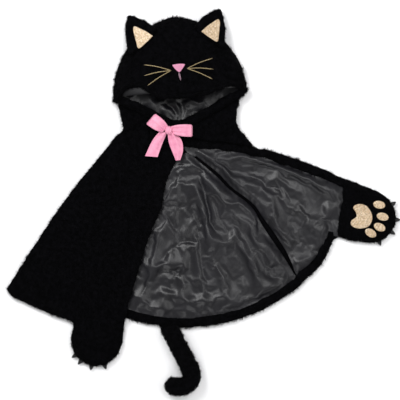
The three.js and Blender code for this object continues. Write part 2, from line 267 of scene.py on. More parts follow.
def creased(points: np.ndarray, size: float, seed: float) -> np.ndarray:
    """Noise with sharp ridges, up to 1 and a little below 0, as crushed satin has."""
    sway = np.stack([cloudy(points, size * 1.3, seed + turn) for turn in (7, 13)], 1)
    return 1 - np.abs(cloudy(points + 0.5 * size * sway, size, seed)) * 2.2


def swelling(level: float, rise: float, size: float, seed: float) -> Height:
    """A height that swells and sinks a little about one level.

    Args:
        level: The height that it keeps about.
        rise: How far it swells.
        size: Size of a swell.
        seed: Which swells.

    Returns:
        A function from points to heights.
    """

    def height(p: np.ndarray) -> np.ndarray:
        """Height at each point."""
        return level + rise * cloudy(p, size, seed)

    return height


def rounded(points: Points, spacing: float) -> list[tuple[float, float]]:
    """A closed outline with its corners rounded.

    Args:
        points: Its corners, each given once.
        spacing: Length of a step.

    Returns:
        The outline's points, each given once.
    """
    return [tuple(q) for q in smooth_line([*points, points[0]], spacing)[:-1]]


@dataclass(frozen=True)
class Ridge:
    """A raised or sunk fold along a line.

    Attributes:
        line: Where it runs.
        height: How high it stands, or how deep with a minus.
        width: Its half width at the line's start and end.
    """

    line: Points
    height: float
    width: tuple[float, float]

    def rise(self, points: np.ndarray) -> np.ndarray:
        """The fold's height.

        Args:
            points: Rows of x and y.

        Returns:
            A height for each point.
        """
        away, along = distance_to(points, smooth_line(self.line, 8))
        half = self.width[0] + (self.width[1] - self.width[0]) * along
        fade = smoothstep(along * 6) * smoothstep((1 - along) * 9 + 0.35)
        return self.height * fade * np.exp(-((away / half) ** 2))


# ---- Finishes ----


class Nodes:
    """A short way to build a material's node tree."""

    def __init__(self, name: str) -> None:
        """Starts a material with a Principled shader.

        Args:
            name: The material's name.
        """
        self.material = bpy.data.materials.new(name)
        self.material.use_nodes = True
        self.tree = self.material.node_tree
        self.shader = self.tree.nodes["Principled BSDF"]
        self.where = self.tree.nodes.new("ShaderNodeTexCoord")

    def set(self, **values: float | tuple) -> None:
        """Sets sockets of the shader, whose names are given with _ for a space."""
        for name, value in values.items():
            self.shader.inputs[name.replace("_", " ")].default_value = value

    def add(self, kind: str, links: dict | None = None, **settings: object) -> bpy.types.Node:
        """Adds a node.

        Args:
            kind: The node's type after "ShaderNode".
            links: Socket names to the outputs that feed them, or to plain values.
            settings: The node's own properties.

        Returns:
            The node.
        """
        node = self.tree.nodes.new("ShaderNode" + kind)
        for name, value in settings.items():
            setattr(node, name, value)
        for socket, value in (links or {}).items():
            if isinstance(value, bpy.types.NodeSocket):
                self.tree.links.new(value, node.inputs[socket])
            else:
                node.inputs[socket].default_value = value
        return node

    def texture(self, kind: str, scale: float, source: str = "Object", **links: object) -> bpy.types.Node:
        """A texture read at the piece's own coordinates.

        Args:
            kind: The texture's type after "ShaderNodeTex".
            scale: Its scale.
            source: Which coordinates: "Object" or "UV".
            links: Its other sockets, with _ for a space.

        Returns:
            The texture's node.
        """
        values = {"Vector": self.where.outputs[source], "Scale": scale}
        values.update({key.replace("_", " "): value for key, value in links.items()})
        return self.add("Tex" + kind, values)

    def ramp(
        self, factor: bpy.types.NodeSocket, stops: Iterable[tuple[float, tuple]]
    ) -> bpy.types.NodeSocket:
        """A colour ramp.

        Args:
            factor: What it reads.
            stops: Each stop's place from 0 to 1 and its colour.

        Returns:
            The ramp's colour output.
        """
        made = self.add("ValToRGB", {"Fac": factor})
        steps = list(stops)
        while len(made.color_ramp.elements) < len(steps):
            made.color_ramp.elements.new(0.5)
        for element, (position, colour) in zip(made.color_ramp.elements, steps):
            element.position, element.color = position, (*colour, 1)
        return made.outputs["Color"]

    def link(self, output: bpy.types.NodeSocket, socket: str) -> None:
        """Feeds one of the shader's sockets."""
        self.tree.links.new(output, self.shader.inputs[socket])

    def bump(self, layers: Sequence[tuple[bpy.types.NodeSocket, float, float]]) -> None:
        """Chains bump layers and feeds the shader's normal.

        Args:
            layers: For each layer a height, a strength and a distance in metres.
        """
        normal = None
        for height, strength, distance in layers:
            links = {"Height": height, "Strength": strength, "Distance": distance}
            if normal is not None:
                links["Normal"] = normal
            normal = self.add("Bump", links).outputs["Normal"]
        self.link(normal, "Normal")


@dataclass(frozen=True)
class PlushFinish:
    """Dense black pile, matt, with paler tips where it catches the light."""

    name: str = "black_plush"
    deep: tuple = (0.0004, 0.0004, 0.0006)
    tip: tuple = (0.0021, 0.0020, 0.0027)
    clump: float = 120.0
    strand: float = 1400.0
    sheen: float = 0.012

    def material(self) -> bpy.types.Material:
        """Builds the material."""
        n = Nodes(self.name)
        clumps = n.texture("Noise", self.clump, Detail=4.0, Roughness=0.65)
        strands = n.texture("Noise", self.strand, Detail=2.0)
        n.link(n.ramp(clumps.outputs["Fac"], [(0.35, self.deep), (0.7, self.tip)]), "Base Color")
        n.set(Roughness=0.95, Specular_IOR_Level=0.04, Sheen_Weight=self.sheen, Sheen_Roughness=0.4)
        n.bump([(clumps.outputs["Fac"], 0.6, 0.0015), (strands.outputs["Fac"], 0.8, 0.0006)])
        return n.material


@dataclass(frozen=True)
class SatinFinish:
    """Black polyester satin, with a fine weave and soft glossy folds."""

    name: str = "black_satin"
    dark: tuple = (0.0042, 0.0040, 0.0056)
    light: tuple = (0.0085, 0.0082, 0.011)
    thread: float = 1500.0
    gloss: float = 0.43

    def material(self) -> bpy.types.Material:
        """Builds the material."""
        n = Nodes(self.name)
        patches = n.texture("Noise", 26.0, Detail=3.0)
        warp = n.texture("Wave", self.thread, "UV")
        crush = n.texture("Noise", 85.0, Detail=3.0, Roughness=0.6, Distortion=0.8)
        n.link(n.ramp(patches.outputs["Fac"], [(0.3, self.dark), (0.7, self.light)]), "Base Color")
        rough = n.add("MapRange", {"Value": patches.outputs["Fac"], "To Min": 0.33, "To Max": 0.46})
        n.link(rough.outputs["Result"], "Roughness")
        n.set(Specular_IOR_Level=self.gloss, Anisotropic=0.5, Sheen_Weight=0.01)
        n.bump([(crush.outputs["Fac"], 0.07, 0.0014), (warp.outputs["Fac"], 0.05, 0.0002)])
        return n.material


@dataclass(frozen=True)
class RibbonFinish:
    """Pink satin ribbon with fine crosswise ribs."""

    name: str = "pink_ribbon"
    dark: tuple = (0.68, 0.22, 0.36)
    light: tuple = (0.86, 0.35, 0.49)

    def material(self) -> bpy.types.Material:
        """Builds the material."""
        n = Nodes(self.name)
        patches = n.texture("Noise", 60.0, Detail=3.0)
        ribs = n.texture("Wave", 420.0, "UV", Distortion=0.4)
        n.link(n.ramp(patches.outputs["Fac"], [(0.3, self.dark), (0.65, self.light)]), "Base Color")
        n.set(Roughness=0.42, Specular_IOR_Level=0.55, Sheen_Weight=0.25)
        n.bump([(ribs.outputs["Fac"], 0.3, 0.0003), (patches.outputs["Fac"], 0.3, 0.0008)])
        return n.material


@dataclass(frozen=True)
class GlitterFinish:
    """Gold glitter fabric: flakes of several golds that tilt every way."""

    name: str = "gold_glitter"
    flake: float = 900.0
    golds: tuple = (
        (0.22, 0.15, 0.08), (0.55, 0.39, 0.23), (0.74, 0.58, 0.38), (0.42, 0.27, 0.17), (0.90, 0.80, 0.63),
    )

    def material(self) -> bpy.types.Material:
        """Builds the material."""
        n = Nodes(self.name)
        flakes = n.texture("Voronoi", self.flake)
        pick = n.add("SeparateColor", {"Color": flakes.outputs["Color"]})
        stops = [(i / (len(self.golds) - 1), gold) for i, gold in enumerate(self.golds)]
        n.link(n.ramp(pick.outputs["Red"], stops), "Base Color")
        shine = n.add("MapRange", {"Value": pick.outputs["Green"], "To Min": 0.3, "To Max": 0.8})
        n.link(shine.outputs["Result"], "Roughness")
        n.set(Metallic=0.2, Specular_IOR_Level=0.6)
        n.bump([(pick.outputs["Blue"], 0.7, 0.0006)])
        return n.material


@dataclass(frozen=True)
class ThreadFinish:
    """Embroidery thread laid side by side as satin stitch."""

    name: str
    dark: tuple
    light: tuple
    stitch: float = 900.0
    shine: float = 0.38

    def material(self) -> bpy.types.Material:
        """Builds the material."""
        n = Nodes(self.name)
        lay = n.texture("Wave", self.stitch, Distortion=1.2, Detail=2.0)
        n.link(n.ramp(lay.outputs["Fac"], [(0.15, self.dark), (0.75, self.light)]), "Base Color")
        n.set(Roughness=self.shine, Specular_IOR_Level=0.6, Sheen_Weight=0.2)
        n.bump([(lay.outputs["Fac"], 0.8, 0.0005)])
        return n.material


@dataclass(frozen=True)
class FeltFinish:
    """Felt, tape or other short dull fabric."""

    name: str
    dark: tuple
    light: tuple
    grain: float = 700.0
    roughness: float = 0.7

    def material(self) -> bpy.types.Material:
        """Builds the material."""
        n = Nodes(self.name)
        fibres = n.texture("Noise", self.grain, Detail=5.0, Roughness=0.7)
        n.link(n.ramp(fibres.outputs["Fac"], [(0.3, self.dark), (0.7, self.light)]), "Base Color")
        n.set(Roughness=self.roughness, Specular_IOR_Level=0.35, Sheen_Weight=0.1)
        n.bump([(fibres.outputs["Fac"], 0.6, 0.0006)])
        return n.material


class Cloth(Enum):
    """Every finish on the cape, with the record's slot that it belongs to."""

    PLUSH = ("plush", PlushFinish())
    SATIN = ("satin_lining", SatinFinish())
    VELOUR = ("palm_velour", PlushFinish("black_velour", sheen=0.016, clump=260.0))
    GLITTER = ("glitter_fabric", GlitterFinish())
    RIBBON = ("ribbon", RibbonFinish())
    # The same black satin as SATIN, drawn darker and less glossy: painted shade for the lining inside the
    # hood.
    SHADED_HOOD_SATIN = (
        "satin_lining",
        SatinFinish("hood_satin_painted_shade", (0.002, 0.002, 0.003), (0.005, 0.0048, 0.0065), gloss=0.3),
    )
    WHISKER = ("whisker_thread", ThreadFinish("gold_thread", (0.30, 0.21, 0.08), (0.72, 0.56, 0.28)))
    NOSE = ("nose_thread", ThreadFinish("pink_stitch", (0.92, 0.30, 0.50), (1.0, 0.46, 0.68), 1100.0))
    MOUTH = ("nose_thread", ThreadFinish("mauve_stitch", (0.22, 0.12, 0.16), (0.42, 0.24, 0.32)))
    CLAW = (
        "claw_felt",
        FeltFinish("black_felt", (0.003, 0.003, 0.0035), (0.011, 0.0105, 0.0115), 500.0, 0.6),
    )
    TAPE = (
        "fastener_tape",
        FeltFinish("fastener_tape", (0.008, 0.008, 0.009), (0.03, 0.03, 0.03), 1600.0, 0.9),
    )
    FILLING = ("filling", FeltFinish("polyester_filling", (0.6, 0.6, 0.58), (0.85, 0.85, 0.83), 300.0, 1.0))

    def dress(self, piece: bpy.types.Object) -> None:
        """Puts this finish on a piece.

        Args:
            piece: The piece.
        """
        name, finish = self.value
        made = bpy.data.materials.get(finish.name) or finish.material()
        piece.data.materials.clear()
        piece.data.materials.append(made)


# ---- Mesh work ----


def only(piece: bpy.types.Object) -> None:
    """Selects one piece alone and makes it active.

    Args:
        piece: The piece.
    """
    bpy.ops.object.select_all(action="DESELECT")
    piece.select_set(True)
    bpy.context.view_layer.objects.active = piece


def apply(piece: bpy.types.Object, kind: str, **settings: object) -> None:
    """Adds a modifier with its settings and applies it.

    Args:
        piece: The piece.
        kind: The modifier's type.
        settings: Its properties.
    """
    only(piece)
    made = piece.modifiers.new(kind.lower(), kind)
    for name, value in settings.items():
        setattr(made, name, value)
    bpy.ops.object.modifier_apply(modifier=made.name)


def smooth(piece: bpy.types.Object, levels: int = 1) -> None:
    """Subdivides a piece smoothly and shades it smooth.

    Args:
        piece: The piece.
        levels: How many times each face is divided.
    """
    apply(piece, "SUBSURF", levels=levels, render_levels=levels)
    only(piece)
    bpy.ops.object.shade_smooth()


def piece_of(
    name: str, points: np.ndarray, faces: Sequence[Sequence[int]], uv: np.ndarray
) -> bpy.types.Object:
    """A new object from points in millimetres, with a UV map in metres.

    Args:
        name: The piece's name.
        points: Rows of x, y and z.
        faces: Corners of each face.
        uv: A row of u and v for each point, in millimetres.

    Returns:
        The object, in the scene.
    """
    mesh = bpy.data.meshes.new(name)
    mesh.from_pydata((points * MM).tolist(), [], [list(map(int, f)) for f in faces])
    corners = np.empty(len(mesh.loops), np.int32)
    mesh.loops.foreach_get("vertex_index", corners)
    mesh.uv_layers.new(name="UVMap").data.foreach_set("uv", (uv[corners] * MM).astype(np.float32).ravel())
    made = bpy.data.objects.new(name, mesh)
    bpy.context.collection.objects.link(made)
    return made


def flat_piece(
    name: str, outline: Points, spacing: float, height: Height, place: Place = NECK
) -> bpy.types.Object:
    """A sheet that fills an outline, as a net of even triangles.

    Args:
        name: The piece's name.
        outline: Its edge, in millimetres at the place.
        spacing: Size of a triangle.
        height: Height above the floor of points at the place.
        place: Where the outline is measured.

    Returns:
        The object.
    """
    closed = np.vstack([np.array(outline, float), np.array(outline[:1], float)])
    ring = even_steps(closed, spacing)[:-1]
    low, high = ring.min(0), ring.max(0)
    rows = np.arange(low[1], high[1], spacing * 0.87)
    columns = np.arange(low[0], high[0], spacing)
    net = np.array([(x + (j % 2) * spacing / 2, y) for j, y in enumerate(rows) for x in columns])
    net = net[inside(net, ring)]
    net = net[distance_to(net, np.vstack([ring, ring[:1]]))[0] > spacing * 0.55]
    flat = np.vstack([ring, net])
    edges = [(i, (i + 1) % len(ring)) for i in range(len(ring))]
    found = geometry.delaunay_2d_cdt([Vector(p) for p in flat], edges, [], 1, 1e-6)
    flat = np.array([(v.x, v.y) for v in found[0]])
    points = np.column_stack([place.world(flat), FLOOR + height(flat)])
    return piece_of(name, points, found[2], flat)


def grid_piece(name: str, points: np.ndarray, close: bool = False) -> bpy.types.Object:
    """A piece from rows of points in millimetres, each row joined to the next.

    Args:
        name: The piece's name.
        points: An array of rows, columns and x, y, z.
        close: Whether each row's end joins its start.

    Returns:
        The object.
    """
    rows, columns = points.shape[:2]
    last = columns if close else columns - 1
    faces = []
    for j in range(rows - 1):
        for i in range(last):
            ahead = (i + 1) % columns
            here, above = j * columns, (j + 1) * columns
            faces.append([here + i, here + ahead, above + ahead, above + i])
    across = np.linalg.norm(np.diff(points, axis=1), axis=2).mean(0)
    along = np.linalg.norm(np.diff(points, axis=0), axis=2).mean(1)
    u = np.concatenate([[0], np.cumsum(across)])
    v = np.concatenate([[0], np.cumsum(along)])
    uv = np.stack(np.meshgrid(u, v), axis=2).reshape(-1, 2)
    made = piece_of(name, points.reshape(-1, 3), faces, uv)
    made["cut"] = [float(u[-1]) * MM, float(v[-1]) * MM]
    return made


def thicken(piece: bpy.types.Object, thickness: float, levels: int = 1) -> None:
    """Gives a sheet its thickness about its middle, with rounded edges.

    Args:
        piece: The sheet.
        thickness: Its thickness.
        levels: How many times each face is divided.
    """
    apply(piece, "SOLIDIFY", thickness=thickness * MM, offset=0.0, use_quality_normals=True)
    smooth(piece, levels)


def tufted(piece: bpy.types.Object, depth: float = 1.3, size: float = 8.0) -> None:
    """Makes a plush surface a little lumpy, as its pile clumps together.

    Args:
        piece: The plush piece, with its thickness.
        depth: How far the lumps stand out or in, in millimetres.
        size: The size of a lump in millimetres.
    """
    mesh = piece.data
    spots = np.empty(len(mesh.vertices) * 3, np.float32)
    mesh.vertices.foreach_get("co", spots)
    spots = spots.reshape(-1, 3)
    normals = np.empty(spots.size, np.float32)
    mesh.vertex_normals.foreach_get("vector", normals)
    normals = normals.reshape(-1, 3)
    lump = np.array([noise.noise(spot) for spot in (spots / (size * MM)).tolist()])
    lump *= 1.6 * depth * MM * (1.0 - 0.6 * np.abs(normals[:, 2]))
    spots += normals * lump[:, None].astype(np.float32)
    spots[:, 2] = np.maximum(spots[:, 2], FLOOR * MM)
    mesh.vertices.foreach_set("co", spots.ravel())
    mesh.update()


def seam_up(piece: bpy.types.Object) -> None:
    """Merges doubles and turns every face outwards.

    Args:
        piece: The piece.
    """
    only(piece)
    bpy.ops.object.mode_set(mode="EDIT")
    bpy.ops.mesh.select_all(action="SELECT")
    bpy.ops.mesh.remove_doubles(threshold=0.05 * MM)
    bpy.ops.mesh.normals_make_consistent(inside=False)
    bpy.ops.object.mode_set(mode="OBJECT")


@dataclass(frozen=True)
class Hinge:
    """Two bodies and the strip in which a cloth bends from one to the other."""

    fixed: str
    moving: str
    start: Vector
    end: Vector


def fold_hinge(fixed: str, moving: str, angle: float, side: float, half: float = 9.0) -> Hinge:
    """A bend across a fold line that leaves the neck at an angle."""
    at = [NECK.at(*beside(angle, 100, side * reach)) for reach in (-half, half)]
    return Hinge(fixed, moving, *at)


RIGHT_HINGE = fold_hinge("cape_body", "right_front", RIGHT_FOLD, 1)
LEFT_HINGE = fold_hinge("cape_body", "left_front", LEFT_FOLD, 1)
HOOD_HINGE = Hinge("cape_body", "hood", HOOD.at(0, -46), HOOD.at(0, -14))


def carry(piece: bpy.types.Object, holder: str | Hinge) -> None:
    """Makes a piece move with a body, or bakes its place where it lies across a hinge."""
    if isinstance(holder, Hinge):
        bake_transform(piece)
    else:
        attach(piece, holder)


@dataclass(frozen=True)
class Pile:
    """Short fibres that stand out of a plush surface.

    Attributes:
        spacing: Distance between fibres.
        length: Length of a fibre.
        width: Width of a fibre at its root.
        lean: How far the nap leans, as a share of the length.
        nap: The direction in which the nap lies, in degrees.
        lowest: The steepest way down that a surface may face and still carry fibres.
        highest: The steepest way up.
    """

    spacing: float = 3.0
    length: float = 4.0
    width: float = 1.0
    lean: float = 0.8
    nap: float = -100.0
    lowest: float = -0.35
    highest: float = 1.1

    def grow(self, root: bpy.types.Object, holder: str | Hinge, seed: int) -> bpy.types.Object:
        """Grows fibres all over a piece.

        Args:
            root: The plush piece.
            holder: The body or hinge that the piece moves with.
            seed: Start of the random draws.

        Returns:
            The fibres as one object.
        """
        draw = np.random.default_rng(seed)
        root.data.calc_loop_triangles()
        corners = np.array([t.vertices for t in root.data.loop_triangles])
        place = np.array([v.co for v in root.data.vertices]) / MM
        a, b, c = (place[corners[:, k]] for k in range(3))
        cross = np.cross(b - a, c - a)
        size = np.linalg.norm(cross, axis=1)
        normal = cross / np.maximum(size, 1e-12)[:, None]
        keep = (normal[:, 2] > self.lowest) & (normal[:, 2] < self.highest)
        weight = np.where(keep, size, 0)
        count = int(weight.sum() / 2 / self.spacing**2)
        weight *= 1 + 2.5 * (1 - np.abs(normal[:, 2]))
        pick = draw.choice(len(size), count, p=weight / weight.sum())
        u, v = draw.random((2, count))
        over = u + v > 1
        u[over], v[over] = 1 - u[over], 1 - v[over]
        foot = a[pick] + u[:, None] * (b - a)[pick] + v[:, None] * (c - a)[pick]
        nap = math.radians(self.nap)
        lean = np.array([math.cos(nap), math.sin(nap), 0]) * self.lean + draw.normal(0, 0.55, (count, 3))
        tuft = np.stack([cloudy(foot[:, :2], 8, seed + 3.5), cloudy(foot[:, :2], 8, seed + 9.5)], 1)
        lean[:, :2] += tuft * 1.6
        up = normal[pick] * 1.0 + lean
        up /= np.linalg.norm(up, axis=1)[:, None]
        turn = draw.normal(0, 1, (count, 3))
        side = np.cross(up, turn)
        side *= (self.width / 2 / np.linalg.norm(side, axis=1))[:, None]
        tall = (self.length * draw.uniform(0.6, 1.15, count) * (1 + 0.5 * tuft[:, 0]))[:, None]
        foot -= normal[pick] * 0.4
        points = np.stack([foot - side, foot + side, foot + up * tall], 1).reshape(-1, 3)
        points[:, 2] = np.maximum(points[:, 2], FLOOR)
        faces = np.arange(count * 3).reshape(-1, 3)
        made = piece_of(root.name + "_pile", points, faces, points[:, :2])
        only(made)
        bpy.ops.object.shade_smooth()
        Cloth.PLUSH.dress(made)
        carry(made, holder)
        return made


RIM_PILE = Pile(1.9, 5.6)
UPPER_PILE = Pile(2.2, 5.4)
TAIL_PILE = Pile(1.7, 5.0)


class Tailor:
    """Finishes soft pieces: material, body, the CAD nodes they replace and pile."""

    def __init__(self) -> None:
        """Starts with no pieces made."""
        self.seed = 1

    def sheet(
        self,
        piece: bpy.types.Object,
        cloth: Cloth,
        holder: str | Hinge,
        held: str = "laid",
        rests_on: Sequence[str] = (),
        stands_for: Sequence[str] = (),
        pile: Pile | None = None,
    ) -> bpy.types.Object:
        """Args:
            piece: The sheet, with its thickness.
            cloth: Its finish.
            holder: The body or hinge that it moves with.
            held: How the cloth is held; not used.
            rests_on: What it lies on; not used.
            stands_for: CAD nodes that it replaces.
            pile: Fibres to grow on it.

        Returns:
            The piece.
        """
        cloth.dress(piece)
        return self.finish(piece, holder, stands_for, pile)

    def padded(
        self,
        piece: bpy.types.Object,
        cloth: Cloth,
        holder: str | Hinge,
        fill: float,
        stands_for: Sequence[str] = (),
        pile: Pile | None = None,
    ) -> bpy.types.Object:
        """Args:
            piece: The closed shell of the piece.
            cloth: Its finish.
            holder: The body or hinge that it moves with.
            fill: How full it is stuffed, up to 1; not used.
            stands_for: CAD nodes that it replaces.
            pile: Fibres to grow on it.

        Returns:
            The piece.
        """
        cloth.dress(piece)
        return self.finish(piece, holder, stands_for, pile)

    def finish(
        self,
        piece: bpy.types.Object,
        holder: str | Hinge,
        stands_for: Sequence[str] = (),
        pile: Pile | None = None,
    ) -> bpy.types.Object:
        """Lets a piece ride, stand for its CAD nodes and grow its pile.

        Args:
            piece: The piece.
            holder: The body or hinge that it moves with.
            stands_for: CAD nodes that it replaces.
            pile: Fibres to grow on it.

        Returns:
            The piece.
        """
        if stands_for:
            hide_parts(*stands_for)
        if pile:
            self.seed += 1
            tufted(piece)
            pile.grow(piece, holder, self.seed)
        carry(piece, holder)
        log.info("%s: %d faces", piece.name, len(piece.data.polygons))
        return piece


@dataclass
class Drape:
    """A cloth simulation that gives linings their own small wrinkles.

    Attributes:
        frames: How many frames it runs.
        growth: How much larger the cloth is than its frame, as a share.
        limit: The furthest that a point may move, in millimetres.
    """

    frames: int = 22
    growth: float = 0.023
    limit: float = 14.0

    def run(self, sheets: Sequence[tuple[bpy.types.Object, np.ndarray]], rest: float) -> None:
        """Runs the simulation on all sheets at once and keeps its result.

        Args:
            sheets: Each piece with its pinned points' weights.
            rest: Height of the surface that the cloth lies on.
        """
        scene = bpy.context.scene
        bpy.ops.object.select_all(action="DESELECT")
        bpy.ops.mesh.primitive_plane_add(size=2, location=(0, 0, (FLOOR + rest) * MM))
        table = bpy.context.object
        table.modifiers.new("collision", "COLLISION")
        table.collision.thickness_outer = 0.4 * MM
        starts = []
        for piece, pins in sheets:
            starts.append(np.array([v.co for v in piece.data.vertices]))
            group = piece.vertex_groups.new(name="pins")
            for index, weight in enumerate(pins):
                group.add([index], float(weight), "REPLACE")
            made = piece.modifiers.new("drape", "CLOTH")
            self.prepare(made)
        scene.frame_start, scene.frame_end = 1, self.frames
        for number in range(1, self.frames + 1):
            scene.frame_set(number)
        graph = bpy.context.evaluated_depsgraph_get()
        for (piece, _), start in zip(sheets, starts):
            shown = piece.evaluated_get(graph).data
            moved = np.array([v.co for v in shown.vertices])
            step = moved - start
            size = np.linalg.norm(step, axis=1)[:, None]
            step *= np.minimum(1, self.limit * MM / np.maximum(size, 1e-9))
            piece.modifiers.clear()
            piece.vertex_groups.clear()
            piece.data.vertices.foreach_set("co", (start + step).astype(np.float32).ravel())
            piece.data.update()
        scene.frame_set(1)
        bpy.data.objects.remove(table, do_unlink=True)

    def prepare(self, made: bpy.types.ClothModifier) -> None:
        """Sets the cloth's stiffness, weight and growth.

        Args:
            made: The simulation on one sheet.
        """
        cloth = made.settings
        cloth.quality = 6
        cloth.mass = 0.08
        cloth.tension_stiffness = cloth.compression_stiffness = 25
        cloth.shear_stiffness = 8
        cloth.bending_stiffness = 0.12
        cloth.air_damping = 2.0
        cloth.vertex_group_mass = "pins"
        cloth.pin_stiffness = 1
        cloth.shrink_min = cloth.shrink_max = -self.growth
        made.collision_settings.distance_min = 0.5 * MM
        made.collision_settings.use_self_collision = False
        made.point_cache.frame_start, made.point_cache.frame_end = 1, self.frames


def edge_pins(piece: bpy.types.Object, loose: Callable[[np.ndarray], np.ndarray] | None = None) -> np.ndarray:
    """Weights that pin a sheet's edge.

    Args:
        piece: The sheet before it has a thickness.
        loose: Which edge points, in millimetres, are left free.

    Returns:
        A weight for each point: 1 on the edge and 0 inside.
    """
    count = np.zeros(len(piece.data.vertices))
    net = bmesh.new()
    net.from_mesh(piece.data)
    for v in net.verts:
        count[v.index] = v.is_boundary
    net.free()
    if loose is not None:
        spots = np.array([v.co[:2] for v in piece.data.vertices]) / MM
        count[loose(spots - np.array([NECK.x, NECK.y]))] = 0
    return count


# ---- The back of the cape ----

RIGHT_SIDE = [(-356, -286), (-305, -206), (-252, -126), (-202, -60), (-158, -7), (-140, 17), (-121, 34)]
FRONT_EDGE = [
    (-10, -6), (-16, -28), (-36, -71), (-43, -118), (-63, -164), (-79, -207), (-93, -257), (-106, -297),
    (-116, -340),
]
FLAP_EDGE = [(6, 17), (38, 11), (92, 5), (140, -4), (194, -17), (250, -37), (312, -63)]
NECK_EDGE = [
    (-141, 94), (-134, 90), (-122, 86), (-97, 75), (-66, 59), (-30, 42), (-10, 39), (12, 45), (36, 57),
    (77, 81), (101, 97), (114, 103), (124, 116),
]
CREASE = [
    (17, -15), (43, -36), (68, -57), (92, -82), (128, -109), (144, -126), (156, -147), (183, -186),
    (206, -222), (222, -254), (232, -268),
]
CREASE_OPEN = (0.7, 1, 1.2, 1.1, 1.1, 1.3, 1.8, 2.3, 1.7, 0.4, 0.05)
UPPER_LIP = [(x + 1.6 * k, y + 1.8 * k) for (x, y), k in zip(CREASE, CREASE_OPEN)]
LOWER_LIP = [(x - 1.6 * k, y - 1.8 * k) for (x, y), k in zip(CREASE, CREASE_OPEN)]
PLUSH_THICKNESS = 5.4
SATIN_THICKNESS = 1.0
HIDDEN_SATIN_THICKNESS = 0.8
LINING_REST = 6.6
HEM_RADIUS = 357.0
HEM_END = -110.0
FLAP_HEM_END = -32.0


@dataclass
class Rim:
    """A plush edge turned in over the lining, with a rolled profile.

    Attributes:
        profile: Steps of the roll: how far in from the edge, and how high.
        thickness: Thickness of the plush.
    """

    profile: Points = (
        (1.0, 1.0), (-2.2, 3.0), (-2.4, 6.6), (1.6, 9.6), (7.5, 10.6), (12.5, 9.4), (15.0, 7.2),
    )
    thickness: float = 2.6

    def make(
        self, name: str, line: np.ndarray, lift: np.ndarray | float = 0.0, side: float = 1.0
    ) -> bpy.types.Object:
        """Rolls the profile along a line.

        Args:
            name: The piece's name.
            line: The outer edge, at the neck's place.
            lift: Extra height, one number or one for each point of the line.
            side: 1 where the cloth lies to the line's left, -1 to its right.

        Returns:
            The sheet with its thickness.
        """
        along = np.gradient(line, axis=0)
        along /= np.linalg.norm(along, axis=1)[:, None]
        inward = np.stack([-along[:, 1], along[:, 0]], axis=1) * side
        wave = cloudy(line, 30, 4.2)[:, None] + 0.8 * cloudy(line, 13, 6.2)[:, None]
        steps = []
        for reach, height in self.profile:
            flat = NECK.world(line + inward * (reach + wave * (1.0 + reach * 0.12)))
            tall = FLOOR + height * (1 + 0.14 * wave[:, 0]) + lift * min(1.0, height / 8)
            steps.append(np.column_stack([flat, tall]))
        made = grid_piece(name, np.stack(steps))
        thicken(made, self.thickness)
        return made


